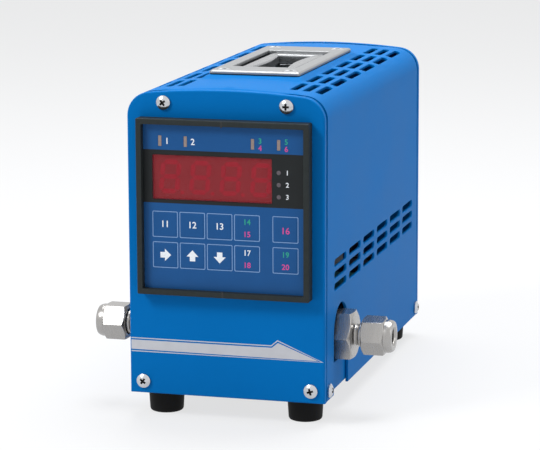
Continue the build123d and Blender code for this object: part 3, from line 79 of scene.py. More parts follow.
half_width = panel_high.x
floor_z = panel_low.z
front_y = panel_low.y
rear_y = rear_high.y
case_height = 126.1
crown_rise = 2.6
corner_radius = 9.7
sheet = 1.2
meter_z = (bezel_low.z + bezel_high.z) / 2
flow_y = (block_low.y + block_high.y) / 2
flow_z = (block_low.z + block_high.z) / 2

# The crowned top: one wide arc between two corner arcs
crown_radius = (half_width**2 + crown_rise**2) / (2 * crown_rise)
crown_z = floor_z + case_height - crown_radius
corner_x = half_width - corner_radius
corner_z = crown_z + math.sqrt((crown_radius - corner_radius) ** 2 - corner_x**2)
corner_turn = math.atan2(corner_z - crown_z, corner_x)
crown_turn = math.pi / 2 - corner_turn
crown_length = crown_radius * crown_turn
corner_length = corner_radius * corner_turn
side_length = corner_z - floor_z
half_sheet = crown_length + corner_length + side_length


# Colours and materials

def srgb(red, green, blue):
    """A colour read as 0 to 255 on screen, as linear values."""
    out = []
    for value in (red, green, blue):
        c = value / 255
        out.append(c / 12.92 if c <= 0.04045 else ((c + 0.055) / 1.055) ** 2.4)
    return (*out, 1.0)


def shade(colour, factor):
    return tuple(min(1.0, c * factor) for c in colour[:3]) + (1.0,)


def material(name, colour, rough, metallic=0.0, vary=0.06, scale=90.0, stretch=(1, 1, 1), bump=0.0,
             bump_scale=900.0, rough_vary=0.06, coat=0.0, coat_rough=0.1, alpha=1.0, spec=None):
    """A shader whose colour, roughness and relief vary with noise in the object's own space."""
    mat = bpy.data.materials.new(name)
    mat.use_nodes = True
    nodes = mat.node_tree.nodes
    links = mat.node_tree.links
    shader = nodes["Principled BSDF"]
    values = {"Metallic": metallic, "Coat Weight": coat, "Coat Roughness": coat_rough, "Alpha": alpha}
    for key, value in values.items():
        shader.inputs[key].default_value = value
    if spec is not None:
        shader.inputs["Specular IOR Level"].default_value = spec
    coords = nodes.new("ShaderNodeTexCoord")
    mapping = nodes.new("ShaderNodeMapping")
    mapping.inputs["Scale"].default_value = stretch
    links.new(coords.outputs["Object"], mapping.inputs["Vector"])
    noise = nodes.new("ShaderNodeTexNoise")
    noise.inputs["Scale"].default_value = scale
    noise.inputs["Detail"].default_value = 4.0
    links.new(mapping.outputs["Vector"], noise.inputs["Vector"])
    ramp = nodes.new("ShaderNodeValToRGB")
    for stop, place, factor in zip(ramp.color_ramp.elements, (0.3, 0.7), (1 - vary, 1 + vary)):
        stop.position = place
        stop.color = shade(colour, factor)
    links.new(noise.outputs["Fac"], ramp.inputs["Fac"])
    links.new(ramp.outputs["Color"], shader.inputs["Base Color"])
    spread = nodes.new("ShaderNodeMapRange")
    spread.inputs["To Min"].default_value = max(0.02, rough - rough_vary)
    spread.inputs["To Max"].default_value = min(1.0, rough + rough_vary)
    links.new(noise.outputs["Fac"], spread.inputs["Value"])
    links.new(spread.outputs["Result"], shader.inputs["Roughness"])
    if bump:
        fine = nodes.new("ShaderNodeTexNoise")
        fine.inputs["Scale"].default_value = bump_scale
        fine.inputs["Detail"].default_value = 2.0
        links.new(mapping.outputs["Vector"], fine.inputs["Vector"])
        relief = nodes.new("ShaderNodeBump")
        relief.inputs["Strength"].default_value = bump
        relief.inputs["Distance"].default_value = 0.0002
        links.new(fine.outputs["Fac"], relief.inputs["Height"])
        links.new(relief.outputs["Normal"], shader.inputs["Normal"])
    return mat


BLUE = srgb(0, 106, 178)
MATERIALS = {
    "paint": material("blue_enamel", BLUE, 0.5, vary=0.025, scale=30, bump=0.1, bump_scale=1400, spec=0.04),
    # Painted shade: a darker blue for the shadow in the seams between the plates and the cover
    "seam": material("seam_shadow", srgb(0, 62, 120), 0.7, vary=0.1, spec=0.1),
    "zinc": material("bright_zinc", srgb(198, 200, 204), 0.2, metallic=1.0, vary=0.08, scale=500),
    # Painted shade: a dark grey for the shadow inside the screws' cross recesses
    "recess_shade": material("screw_recess_shade", srgb(52, 50, 50), 0.45, metallic=0.7, vary=0.2, scale=900),
    "rubber": material("black_rubber", srgb(9, 9, 10), 0.6, vary=0.2, scale=260, bump=0.2, spec=0.15),
    "plate": material("satin_steel_plate", srgb(146, 148, 150), 0.36, metallic=0.9, vary=0.05, scale=260,
                      stretch=(14, 1, 14), bump=0.05, bump_scale=500),
    "ring": material("satin_steel_ring", srgb(150, 152, 155), 0.28, metallic=1.0, vary=0.06, scale=300,
                     stretch=(1, 14, 14)),
    "pocket": material("bright_steel_pocket", srgb(176, 180, 184), 0.16, metallic=1.0, vary=0.05, scale=160),
    "steel": material("turned_steel", srgb(168, 166, 164), 0.27, metallic=1.0, vary=0.05, scale=200,
                      stretch=(30, 1, 1), bump=0.04, bump_scale=400),
    "bore": material("bore_steel", srgb(120, 116, 110), 0.35, metallic=0.9, vary=0.15, scale=400),
    "bezel": material("bezel_plastic", srgb(40, 45, 45), 0.5, vary=0.1, scale=400, bump=0.15, spec=0.15),
    "film": material("film_blue", srgb(26, 80, 136), 0.4, vary=0.03, scale=120, spec=0.15),
    "film_black": material("film_black", srgb(33, 36, 37), 0.4, vary=0.06, scale=120, spec=0.15),
    "window": material("red_window", srgb(149, 38, 48), 0.26, vary=0.03, scale=60, alpha=0.4, spec=0.2),
    "digit_face": material("digit_face", srgb(184, 85, 85), 0.5, vary=0.05, scale=200),
    "segment": material("segment_red", srgb(243, 56, 82), 0.4, vary=0.04, scale=200),
    "line": material("print_pale", srgb(118, 152, 196), 0.5, vary=0.04, scale=400),
    "white": material("print_white", srgb(232, 236, 240), 0.5, vary=0.03, scale=400),
    "green": material("print_green", srgb(22, 160, 128), 0.5, vary=0.04, scale=400),
    "pink": material("print_pink", srgb(206, 66, 142), 0.5, vary=0.04, scale=400),
    "led": material("led_lens", srgb(140, 122, 116), 0.4, vary=0.1, scale=700, coat=0.3),
    "led_dark": material("led_dot", srgb(86, 78, 84), 0.45, vary=0.1, scale=700),
    "silver": material("silver_print", srgb(190, 191, 196), 0.42, metallic=0.25, vary=0.03, scale=300),
    "black": material("moulded_black", srgb(28, 28, 29), 0.45, vary=0.15, scale=350, bump=0.15),
    "brass": material("plated_brass", srgb(196, 190, 170), 0.22, metallic=1.0, vary=0.06, scale=300),
    "board": material("board_green", srgb(20, 78, 48), 0.4, vary=0.12, scale=240, coat=0.3),
    "copper": material("wound_copper", srgb(160, 92, 40), 0.42, metallic=0.6, vary=0.2, scale=90,
                       stretch=(1, 1, 30), bump=0.4, bump_scale=300),
    "core": material("laminated_core", srgb(96, 98, 102), 0.5, metallic=0.6, vary=0.15, scale=60,
                     stretch=(1, 60, 1), bump=0.3, bump_scale=200),
    "sink": material("black_anodised", srgb(34, 35, 38), 0.4, metallic=0.6, vary=0.1, scale=200),
    "glass": material("fuse_glass", srgb(210, 220, 222), 0.08, vary=0.02, scale=100, alpha=0.4),
}


# Meshes

def add_object(name, data):
    """A new object in the scene."""
    item = bpy.data.objects.new(name, data)
    bpy.context.scene.collection.objects.link(item)
    return item


def to_piece(name, bm, mats, body=BODY, nodes=(), slot=None, sharp=34.0, weighted=True, bevel=0.0):
    """Turns a mesh in millimetres into an object that rides on a body and may stand for CAD nodes."""
    bmesh.ops.recalc_face_normals(bm, faces=bm.faces)
    for face in bm.faces:
        face.smooth = True
    for edge in bm.edges:
        if len(edge.link_faces) == 2 and edge.calc_face_angle(0.0) > math.radians(sharp):
            edge.smooth = False
    bmesh.ops.scale(bm, vec=(MM, MM, MM), verts=bm.verts)
    mesh = bpy.data.meshes.new(name)
    bm.to_mesh(mesh)
    bm.free()
    for key in mats if isinstance(mats, (list, tuple)) else [mats]:
        mesh.materials.append(MATERIALS[key])
    piece = add_object(name, mesh)
    if bevel:
        rounding = piece.modifiers.new("edges", "BEVEL")
        rounding.width = bevel * MM
        rounding.segments = 2
        rounding.limit_method = "ANGLE"
        rounding.angle_limit = math.radians(25)
        rounding.harden_normals = False
    if weighted:
        normals = piece.modifiers.new("normals", "WEIGHTED_NORMAL")
        normals.keep_sharp = True
        normals.weight = 80
    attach(piece, body)
    if nodes:
        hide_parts(*nodes)
    return piece


def arc(cx, cy, radius, start, end, steps):
    """Points on an arc, with angles in degrees, both ends included."""
    return [
        (cx + radius * math.cos(math.radians(start + (end - start) * i / steps)),
         cy + radius * math.sin(math.radians(start + (end - start) * i / steps)))
        for i in range(steps + 1)
    ]


def rounded_rect(cx, cy, width, height, radius, steps=6):
    """A rectangle with rounded corners, counter-clockwise."""
    x, y = width / 2 - radius, height / 2 - radius
    if radius <= 0:
        return [(cx - x, cy - y), (cx + x, cy - y), (cx + x, cy + y), (cx - x, cy + y)]
    points = []
    for sx, sy, start in ((1, -1, -90), (1, 1, 0), (-1, 1, 90), (-1, -1, 180)):
        points += arc(cx + sx * x, cy + sy * y, radius, start, start + 90, steps)
    return points


def circle(cx, cy, radius, steps=32):
    return arc(cx, cy, radius, 0, 360, steps)[:-1]


def slot_loop(cx, cy, length, width, steps=10):
    """A slot with round ends, counter-clockwise, along the second direction."""
    reach = length / 2 - width / 2
    points = arc(reach, 0, width / 2, -90, 90, steps) + arc(-reach, 0, width / 2, 90, 270, steps)
    return [(cx - y, cy + x) for x, y in points]


def moved_in(points, distance):
    """A closed loop moved to its left by a distance, with mitred corners."""
    if not distance:
        return list(points)
    count = len(points)
    out = []
    for i in range(count):
        x0, y0 = points[i - 1]
        x1, y1 = points[i]
        x2, y2 = points[(i + 1) % count]
        ax, ay = x1 - x0, y1 - y0
        bx, by = x2 - x1, y2 - y1
        la, lb = math.hypot(ax, ay) or 1e-9, math.hypot(bx, by) or 1e-9
        na, nb = (-ay / la, ax / la), (-by / lb, bx / lb)
        mx, my = na[0] + nb[0], na[1] + nb[1]
        scale = 2 / max(mx * mx + my * my, 0.35)
        out.append((x1 + mx * scale * distance, y1 + my * scale * distance))
    return out


def bridge(bm, rings):
    """Walls from each ring of vertices to the next."""
    for a, b in zip(rings, rings[1:]):
        for i in range(len(a)):
            j = (i + 1) % len(a)
            bm.faces.new((a[i], a[j], b[j], b[i]))


def edge_layers(thickness, top=0.3, bottom=0.15, steps=3):
    """Insets and depths of a plate's side, with rounded upper and lower edges."""
    layers = []
    for k in range(steps + 1):
        a = math.pi / 2 * k / steps
        layers.append((top * (1 - math.sin(a)), top * (1 - math.cos(a))))
    for k in range(steps + 1):
        a = math.pi / 2 * (1 - k / steps)
        layers.append((bottom * (1 - math.sin(a)), thickness - bottom * (1 - math.cos(a))))
    return layers


def inside(points, loop):
    """Which of the points lie inside a loop."""
    x, y = points[:, 0], points[:, 1]
    result = np.zeros(len(points), bool)
    lx, ly = np.array(loop).T
    near = (x >= lx.min()) & (x <= lx.max()) & (y >= ly.min()) & (y <= ly.max())
    if not near.any():
        return result
    px, py = x[near], y[near]
    odd = np.zeros(len(px), bool)
    for i in range(len(loop)):
        x0, y0 = loop[i - 1]
        x1, y1 = loop[i]
        if y0 == y1:
            continue
        crosses = (y0 > py) != (y1 > py)
        odd ^= crosses & (px < (x1 - x0) * (py - y0) / (y1 - y0) + x0)
    result[near] = odd
    return result


def fill(bm, outer, holes, grid, place, rings):
    """A cap between an outer loop and holes. rings are the vertices already made for those loops."""
    points = []
    verts = []
    edges = []
    for loop, ring in zip([outer] + holes, rings):
        first = len(points)
        points += loop
        verts += ring
        edges += [(first + i, first + (i + 1) % len(loop)) for i in range(len(loop))]
    for point in grid:
        points.append(point)
        verts.append(None)
    flat = [Vector(p) for p in points]
    new_points, _, triangles, origins, *_ = delaunay_2d_cdt(flat, edges, [], 0, 1e-6)
    centres = np.array([
        [sum(new_points[i].x for i in t) / 3, sum(new_points[i].y for i in t) / 3] for t in triangles
    ])
    keep = inside(centres, outer)
    for hole in holes:
        keep &= ~inside(centres, hole)
    made = {}
    for triangle, kept in zip(triangles, keep):
        if not kept:
            continue
        corners = []
        for i in triangle:
            if i not in made:
                known = next((verts[o] for o in origins[i] if verts[o] is not None), None)
                made[i] = known or bm.verts.new(place(new_points[i].x, new_points[i].y))
            corners.append(made[i])
        if len(set(corners)) == 3:
            try:
                bm.faces.new(corners)
            except ValueError:
                pass


def plate(outer, layers, place, holes=(), hole_layers=None, grid=(), bm=None, back=True):
    """A solid between an outer loop and holes, whose sides follow layers of (inset, depth).

    place(u, v, depth) gives the point in space. Outer loops run counter-clockwise, as do holes.
    """
    bm = bm or bmesh.new()
    hole_layers = hole_layers or [layers] * len(holes)
    loops = [(list(outer), layers)] + [(list(h)[::-1], l) for h, l in zip(holes, hole_layers)]
    firsts, lasts, first_rings, last_rings = [], [], [], []
    for loop, steps in loops:
        previous = None
        for number, (inset, depth) in enumerate(steps):
            points = moved_in(loop, inset)
            ring = [bm.verts.new(place(u, v, depth)) for u, v in points]
            if previous:
                for i in range(len(ring)):
                    j = (i + 1) % len(ring)
                    bm.faces.new((previous[i], previous[j], ring[j], ring[i]))
            if number == 0:
                firsts.append(points)
                first_rings.append(ring)
            previous = ring
        lasts.append(points)
        last_rings.append(previous)
    top, bottom = layers[0][1], layers[-1][1]
    fill(bm, firsts[0], firsts[1:], grid, lambda u, v: place(u, v, top), first_rings)
    if back:
        fill(bm, lasts[0], lasts[1:], grid, lambda u, v: place(u, v, bottom), last_rings)
    return bm


def lathe(profile, place, steps=64, bm=None, closed=False):
    """A turned form from points of (radius, height). place(x, y, height) gives the point in space."""
    bm = bm or bmesh.new()
    rings = []
    for radius, height in profile:
        if radius < 1e-6:
            rings.append([bm.verts.new(place(0, 0, height))])
        else:
            rings.append([
                bm.verts.new(place(radius * math.cos(2 * math.pi * i / steps),
                                   radius * math.sin(2 * math.pi * i / steps), height))
                for i in range(steps)
            ])
    pairs = list(zip(rings, rings[1:]))
    if closed:
        pairs.append((rings[-1], rings[0]))
    for a, b in pairs:
        for i in range(steps):
            j = (i + 1) % steps
            if len(a) == 1 and len(b) > 1:
                bm.faces.new((a[0], b[j], b[i]))
            elif len(b) == 1 and len(a) > 1:
                bm.faces.new((a[i], a[j], b[0]))
            elif len(a) > 1:
                bm.faces.new((a[i], a[j], b[j], b[i]))
    return bm


def eased(points, radius, steps=3):
    """A path of points with its inner corners rounded."""
    out = [points[0]]
    for i in range(1, len(points) - 1):
        a, b, c = Vector(points[i - 1]), Vector(points[i]), Vector(points[i + 1])
        u, v = a - b, c - b
        reach = min(radius, u.length * 0.45, v.length * 0.45)
        start, end = b + u.normalized() * reach, b + v.normalized() * reach
        for k in range(steps + 1):
            t = k / steps
            p = start * (1 - t) ** 2 + b * 2 * t * (1 - t) + end * t * t
            out.append((p.x, p.y))
    out.append(points[-1])
    return out


def front(y):
    """Places sketches seen from the front: depth goes to the back from y."""
    return lambda u, v, depth=0.0: (u, y + depth, v)


def behind(y):
    """Places sketches on a face that looks to the back: depth goes forwards from y."""
    return lambda u, v, depth=0.0: (u, y - depth, v)


def above(z):
    """Places sketches seen from above: depth goes down from z."""
    return lambda u, v, depth=0.0: (u, v, z - depth)


def spaced(start, end, step):
    count = max(1, round((end - start) / step))
    return [start + (end - start) * i / count for i in range(count + 1)]


# Cover: a flat sheet with its slots, bent to the case's outline

def sheet_point(u):
    """Point and outward direction across the case at a distance u along the sheet from its middle."""
    side = 1 if u >= 0 else -1
    a = abs(u)
    if a <= crown_length:
        turn = a / crown_radius
        return side * crown_radius * math.sin(turn), crown_z + crown_radius * math.cos(turn), \
            side * math.sin(turn), math.cos(turn)
    a -= crown_length
    if a <= corner_length:
        turn = crown_turn + a / corner_radius
        x = corner_x + corner_radius * math.sin(turn)
        return side * x, corner_z + corner_radius * math.cos(turn), side * math.sin(turn), math.cos(turn)
    return side * half_width, corner_z - (a - corner_length), side, 0.0


seat_z = gasket_low.z
seat_x = gasket_high.x + 0.5
seat_y = gasket_high.y + 0.5
seat_slope_x = 2.5
seat_slope_y = 6.0
seat_blend = 0.5


def smooth_min(a, b, k):
    h = max(k - abs(a - b), 0.0) / k
    return min(a, b) - h * h * k / 4


def seat_rise(x, y, z):
    """How far the pressed seat lifts the sheet at a point of its outer face."""
    share = smooth_min((seat_x + seat_slope_x - abs(x)) / seat_slope_x,
                       (seat_y + seat_slope_y - abs(y)) / seat_slope_y, 0.25)
    foot = crown_z + math.sqrt(crown_radius**2 - (seat_x + seat_slope_x) ** 2) - sheet / 2
    height = foot + (seat_z - foot) * share
    height = smooth_min(height, seat_z, seat_blend)
    return max(0.0, -smooth_min(-height, -z, seat_blend) - z)


def place_cover(u, y, depth=0.0):
    x, z, nx, nz = sheet_point(u)
    rise = 0.0
    if z > corner_z and abs(y) < seat_y + seat_slope_y + 2 and abs(x) < seat_x + seat_slope_x + 2:
        rise = seat_rise(x, y, z)
    return x - nx * depth, y, z - nz * depth + rise


def sheet_from_x(x):
    """Distance along the sheet to a point of the crowned top."""
    return crown_radius * math.asin(x / crown_radius)


def sheet_from_z(z):
    """Distance along the sheet to a height on the side."""
    return crown_length + corner_length + corner_z - z


vent_length = 20.0
vent_width = 3.0
vent_pitch = 25.0
vent_middle = 1.2
vent_columns = [vent_middle + (i - 2.5) * vent_pitch for i in range(6)]
vent_top_xs = (23.8, 29.0, 34.2)
vent_side_heights = (44.7, 49.7, 54.7)
vent_loops = []
for side in (-1, 1):
    for y in vent_columns:
        for x in vent_top_xs:
            vent_loops.append(slot_loop(side * sheet_from_x(x), y, vent_length, vent_width))
        for z in vent_side_heights:
            vent_loops.append(slot_loop(side * sheet_from_z(floor_z + z), y, vent_length, vent_width))
handle_cut = (30.6, 60.8, 1.0)
cut_loop = rounded_rect(0, 0, *handle_cut)

notch_half = 12.0
notch_top = 36.4
notch_u = sheet_from_z(floor_z + notch_top - notch_half)
cover_outline = [(-half_sheet, cover_high.y), (-half_sheet, flow_y + notch_half)]
cover_outline += arc(-notch_u, flow_y, notch_half, 90, -90, 24)
cover_outline += [(-half_sheet, flow_y - notch_half), (-half_sheet, cover_low.y)]
cover_outline += [(half_sheet, cover_low.y), (half_sheet, flow_y - notch_half)]
cover_outline += arc(notch_u, flow_y, notch_half, 270, 90, 24)
cover_outline += [(half_sheet, flow_y + notch_half), (half_sheet, cover_high.y)]

seat_us = spaced(-24.5, 24.5, 0.8)
seat_ys = spaced(-54, 54, 1.2)
cover_grid = [(u, y) for u in seat_us for y in seat_ys]
other_us = [s * u for s in (-1, 1) for u in spaced(crown_length - 1, crown_length + corner_length + 1, 0.9)]
other_us += [s * u for s in (-1, 1) for u in (27.0, 31.5, 36.3)]
cover_grid += [(u, y) for u in other_us for y in spaced(cover_low.y + 2, cover_high.y - 2, 6.0)]
beyond_seat = [s * y for s in (-1, 1) for y in (57, 62, 68, 74, 80)]
cover_grid += [(u, y) for u in spaced(-24.0, 24.0, 3.0) for y in beyond_seat]
blocked = vent_loops + [cut_loop]
points = np.array(cover_grid)
clear = np.ones(len(points), bool)
for loop in blocked:
    clear &= ~inside(points, moved_in(loop, -0.7))
clear &= inside(points, moved_in(cover_outline, 0.6))
cover_grid = [tuple(p) for p, ok in zip(cover_grid, clear) if ok]
cover_edge = edge_layers(sheet, top=0.35, bottom=0.15, steps=3)
cover_mesh = plate(cover_outline, cover_edge, place_cover, holes=blocked, grid=cover_grid)
to_piece("cover_shell", cover_mesh, "paint", nodes=["cover"], slot="blue_paint")


# Front and rear panels

def case_loop(steps=10):
    """The case's outline across its width, counter-clockwise from the lower left."""
    turn = math.degrees(corner_turn)
    points = [(-half_width, floor_z), (half_width, floor_z)]
    points += arc(corner_x, corner_z, corner_radius, 0, turn, steps)
    points += arc(0, crown_z, crown_radius, turn, 180 - turn, 16)[1:-1]
    points += arc(-corner_x, corner_z, corner_radius, 180 - turn, 180, steps)
    return points


panel_edge = edge_layers(panel_high.y - panel_low.y, top=0.7, bottom=0.25, steps=4)
cutout = rounded_rect(0, meter_z, 68.0, 68.0, 0.5)
to_piece("front_plate", plate(case_loop(), panel_edge, front(front_y), holes=[cutout]), "paint",
         nodes=["front_panel"], slot="blue_paint")


def centre_of(node):
    """Middle of a CAD node, seen from behind."""
    low, high = node_box(node)
    return (low.x + high.x) / 2, (low.z + high.z) / 2


inlet_centre = centre_of("mains_inlet")
switch_centre = centre_of("power_switch_body")
signal_centre = centre_of("signal_connector")
rear_holes = [
    rounded_rect(*inlet_centre, 27.4, 20.0, 0.5),
    rounded_rect(*switch_centre, 17.4, 13.4, 0.5),
    rounded_rect(*signal_centre, 17.4, 8.8, 0.5),
]
to_piece("rear_plate", plate(case_loop(), panel_edge, behind(rear_y), holes=rear_holes), "paint",
         nodes=["rear_panel"], slot="blue_paint")

# Painted shade: a thin darker blue ring stands for the shadow in the gap between the plates and the cover
for name, y in (("front_gap_shade", panel_high.y), ("rear_gap_shade", cover_high.y)):
    gap = 0.2
    ring = moved_in(case_loop(), 0.75)
    inner = moved_in(case_loop(), 1.6)
    to_piece(name, plate(ring, [(0, 0), (0, gap)], front(y), holes=[inner]), "seam", weighted=False)


# Screws: a domed head with a cross recess

def screw_head(radius, height, rim, recess_length, recess_width, recess_depth):
    """A head along +Z from the origin, with its recess cut in. The recess faces take the second material, a
    dark painted shade for the shadow inside the recess.
    """
    dome = height - rim
    big = (radius**2 + dome**2) / (2 * dome)
    turn = math.degrees(math.asin(radius / big))
    curve = arc(0, height - big, big, 90 - turn, 90, 10)
    profile = eased([(radius - 0.05, -0.02), (radius, 0.05), (radius, rim * 0.8)], 0.1)[:-1] + curve[:-1]
    profile += [(0, height)]
    bm = lathe(profile, lambda x, y, h: (x, y, h), steps=40)
    mesh = bpy.data.meshes.new("head")
    bm.faces.new([v for v in bm.verts if abs(v.co.z + 0.02) < 1e-6][::-1])
    bmesh.ops.recalc_face_normals(bm, faces=bm.faces)
    bm.to_mesh(mesh)
    bm.free()
    cutter = bmesh.new()
    for turn in (0, 90):
        corners = []
        for z, half, wide in ((height + 0.4, recess_length / 2, recess_width / 2),
                              (height - recess_depth, recess_length * 0.24, recess_width * 0.36)):
            for sx, sy in ((-1, -1), (1, -1), (1, 1), (-1, 1)):
                p = Matrix.Rotation(math.radians(turn), 3, "Z") @ Vector((sx * half, sy * wide, z))
                corners.append(cutter.verts.new(p))
        cutter.faces.new(corners[0:4])
        cutter.faces.new(corners[4:8][::-1])
        for i in range(4):
            j = (i + 1) % 4
            cutter.faces.new((corners[i], corners[i + 4], corners[j + 4], corners[j]))
    bmesh.ops.recalc_face_normals(cutter, faces=cutter.faces)
    cut_mesh = bpy.data.meshes.new("cutter")
    cutter.to_mesh(cut_mesh)
    cutter.free()
    return carve(mesh, cut_mesh)


def carve(mesh, cut_mesh):
    """The first mesh without the second, with the cut faces in the second material, the painted shade of the
    recess.
    """
    for item in (mesh, cut_mesh):
        for key in ("zinc", "recess_shade"):
            item.materials.append(MATERIALS[key])
    for polygon in cut_mesh.polygons:
        polygon.material_index = 1
    body = add_object("carve_body", mesh)
    tool = add_object("carve_tool", cut_mesh)
    cut = body.modifiers.new("cut", "BOOLEAN")
    cut.operation = "DIFFERENCE"
    cut.solver = "EXACT"
    cut.use_self = True
    cut.object = tool
    depsgraph = bpy.context.evaluated_depsgraph_get()
    result = bpy.data.meshes.new_from_object(body.evaluated_get(depsgraph))
    for item in (body, tool):
        bpy.data.objects.remove(item)
    return result


def copies(name, mesh, places, mats, **options):
    """One piece of several copies of a mesh. places are matrices in millimetres."""
    bm = bmesh.new()
    for matrix in places:
        start = len(bm.verts)
        bm.from_mesh(mesh)
        bm.verts.ensure_lookup_table()
        bmesh.ops.transform(bm, matrix=matrix, verts=bm.verts[start:])
    return to_piece(name, bm, mats, **options)


def facing(position, direction, turn=0.0):
    """A matrix that puts +Z of a piece along direction at a position."""
    aim = Vector(direction).to_track_quat("Z", "Y").to_matrix().to_4x4()
    return Matrix.Translation(position) @ aim @ Matrix.Rotation(math.radians(turn), 4, "Z")


pan_head = screw_head(2.9, 1.9, 0.8, 3.3, 0.95, 1.5)
top_z = floor_z + case_height - 5.5
low_z = floor_z + 5.2
inlet_screw_x = 20.0
cover_screw_y = 80.7
cover_screw_z = floor_z + 4.2
places = []
for number, (x, z) in enumerate(((-25.6, top_z), (25.6, top_z), (-35.4, low_z), (35.4, low_z))):
    places.append(facing((x, front_y, z), (0, -1, 0), 37 + 53 * number))
    places.append(facing((x, rear_y, z), (0, 1, 0), 11 + 31 * number))
for side in (-1, 1):
    places.append(facing((side * inlet_screw_x, inlet_high.y, inlet_centre[1]), (0, 1, 0), 20 + 30 * side))
copies("panel_screw_heads", pan_head, places, ["zinc", "recess_shade"], nodes=["panel_screws"],
       slot="bright_screw", weighted=False)
places = [
    facing((side * half_width, y, cover_screw_z), (side, 0, 0), 25 + 17 * side + y * 0.3)
    for side in (-1, 1) for y in (-cover_screw_y, cover_screw_y)
]
copies("cover_screw_heads", pan_head, places, ["zinc", "recess_shade"], nodes=["cover_screws"],
       slot="bright_screw", weighted=False)


# Feet

foot_r = (foot_high.x - foot_low.x) / 2
foot_profile = [(0.0, 5.0)] + eased([(3.7, 5.0), (3.7, 0.0), (6.9, 0.0), (foot_r, foot_high.z)], 1.3, 5)
foot_profile += [(0.0, foot_high.z)]
for node in ("foot_front_left", "foot_front_right", "foot_rear_left", "foot_rear_right"):
    low, high = node_box(node)
    centre = (low + high) / 2
    to_piece(node + "_rubber",
             lathe(foot_profile, lambda x, y, h, c=centre: (c.x + x, c.y + y, h), steps=64),
             "rubber", nodes=[node], slot="black_rubber", sharp=50)


# Handle: plate with a pocket and a well, ring, gasket and screws

plate_z = plate_high.z
plate_half_x = plate_high.x
plate_half_y = plate_high.y
pocket_half_x = 13.9
pocket_half_y = 29.0
pocket_floor = plate_z - 5.3
well_half_x = 7.8
well_half_y = 21.0
well_y = 2.5
plate_outer = rounded_rect(0, 0, 2 * plate_half_x, 2 * plate_half_y, 1.6)
pocket_loop = rounded_rect(0, 0, 2 * pocket_half_x, 2 * pocket_half_y, 1.2)
handle_screw_x = 14.3
handle_screw_y = 39.8
sink_loops = [circle(sx * handle_screw_x, sy * handle_screw_y, 1.75) for sx in (-1, 1) for sy in (-1, 1)]
sink_edge = [(1.45, 0.0), (1.35, 0.03), (0.0, 1.25), (0.0, 1.3)]
pocket_lip = edge_layers(1.3, top=0.35, bottom=0.05, steps=3)
outer_edge = [(0.75, 0.0), (0.62, 0.03), (0.1, 0.42), (0.03, 0.52), (0.0, 0.65), (0.0, 1.3)]
plate_mesh = plate(plate_outer, outer_edge, above(plate_z), holes=[pocket_loop] + sink_loops,
                   hole_layers=[pocket_lip] + [sink_edge] * 4)
to_piece("handle_top_plate", plate_mesh, "plate", nodes=["handle_body"], slot="satin_steel")

# Pocket and well: one pressed shell, from the plate's underside down
pocket_depth = plate_z - 1.25 - pocket_floor
pocket_walls = [(0.0, 0.0), (0.0, pocket_depth - 0.6), (0.18, pocket_depth - 0.18), (0.6, pocket_depth)]
well_loop = rounded_rect(0, well_y, 2 * well_half_x, 2 * well_half_y, 3.0)


def pocket_shell():
    bm = bmesh.new()
    place = above(plate_z - 1.25)
    rings = []
    for inset, depth in pocket_walls:
        rings.append([bm.verts.new(place(u, v, depth)) for u, v in moved_in(pocket_loop, inset)])
    bridge(bm, rings)
    floor_loop = moved_in(pocket_loop, pocket_walls[-1][0])
    well_rings = []
    steps = [(-0.5, 0.0), (-0.15, 0.12), (0.0, 0.5), (0.0, 8.0), (0.3, 8.7), (1.0, 9.0)]
    for inset, depth in steps:
        points = moved_in(well_loop, inset)
        well_rings.append([bm.verts.new(place(u, v, pocket_depth + depth)) for u, v in points])
    bridge(bm, well_rings)
    bm.faces.new(well_rings[-1])
    fill(bm, floor_loop, [moved_in(well_loop, -0.5)], [], lambda u, v: place(u, v, pocket_depth),
         [rings[-1], well_rings[0]])
    return bm


to_piece("handle_pocket", pocket_shell(), "pocket", slot="satin_steel")
gasket_mesh = plate(rounded_rect(0, 0, 2 * plate_half_x - 0.3, 2 * plate_half_y - 0.3, 1.5),
                    [(0, 0), (0, gasket_high.z - gasket_low.z)], above(gasket_high.z),
                    holes=[rounded_rect(0, 0, *handle_cut)])
to_piece("handle_seal", gasket_mesh, "rubber", nodes=["handle_gasket"], slot="black_rubber", weighted=False)

# Ring: its inner edges swell inwards, and its near ends are eyes on the pin
ring_half = 12.0
ring_leg = 4.2
ring_swell = 2.0
ring_top = bail_high.z
ring_thick = bail_high.z - bail_low.z
pin_y = -25.6
pin_z = ring_top - 2.0
ring_far = bail_high.y
ring_inner_near = pin_y + 3.0
ring_inner_far = ring_far - 5.6
ring_outer = [(-ring_half, pin_y), (ring_half, pin_y)]
ring_outer += arc(ring_half - 3, ring_far - 3, 3, 0, 90, 6)
ring_outer += arc(-ring_half + 3, ring_far - 3, 3, 90, 180, 6)
inner_half = ring_half - ring_leg
ring_run = ring_inner_far - ring_inner_near
swell = [(inner_half - ring_swell * math.sin(math.pi * t / 12), ring_run * t / 12) for t in range(1, 12)]
ring_hole = [(-inner_half, ring_inner_near), (inner_half, ring_inner_near)]
ring_hole += [(x, ring_inner_near + y) for x, y in swell]
ring_hole += [(inner_half, ring_inner_far), (-inner_half, ring_inner_far)]
ring_hole += [(-x, ring_inner_far - y) for x, y in swell]
ring_edge = edge_layers(ring_thick, top=0.9, bottom=0.6, steps=4)
ring_mesh = plate(ring_outer, ring_edge, above(ring_top), holes=[ring_hole])
eye_profile = eased([(1.25, -ring_half), (2.0, -ring_half), (2.0, ring_half), (1.25, ring_half)], 0.3)
lathe(eye_profile, lambda x, y, h: (h, pin_y + x, pin_z + y), steps=40, bm=ring_mesh, closed=True)
to_piece("ring", ring_mesh, "ring", body=RING, nodes=["handle_bail"], slot="satin_steel")
pin_half = 14.8
pin_mesh = lathe([(0, -pin_half), (1.2, -pin_half), (1.2, pin_half), (0, pin_half)],
                 lambda x, y, h: (h, pin_y + x, pin_z + y))
to_piece("ring_pin", pin_mesh, "steel", nodes=["handle_pin"], slot="stainless")

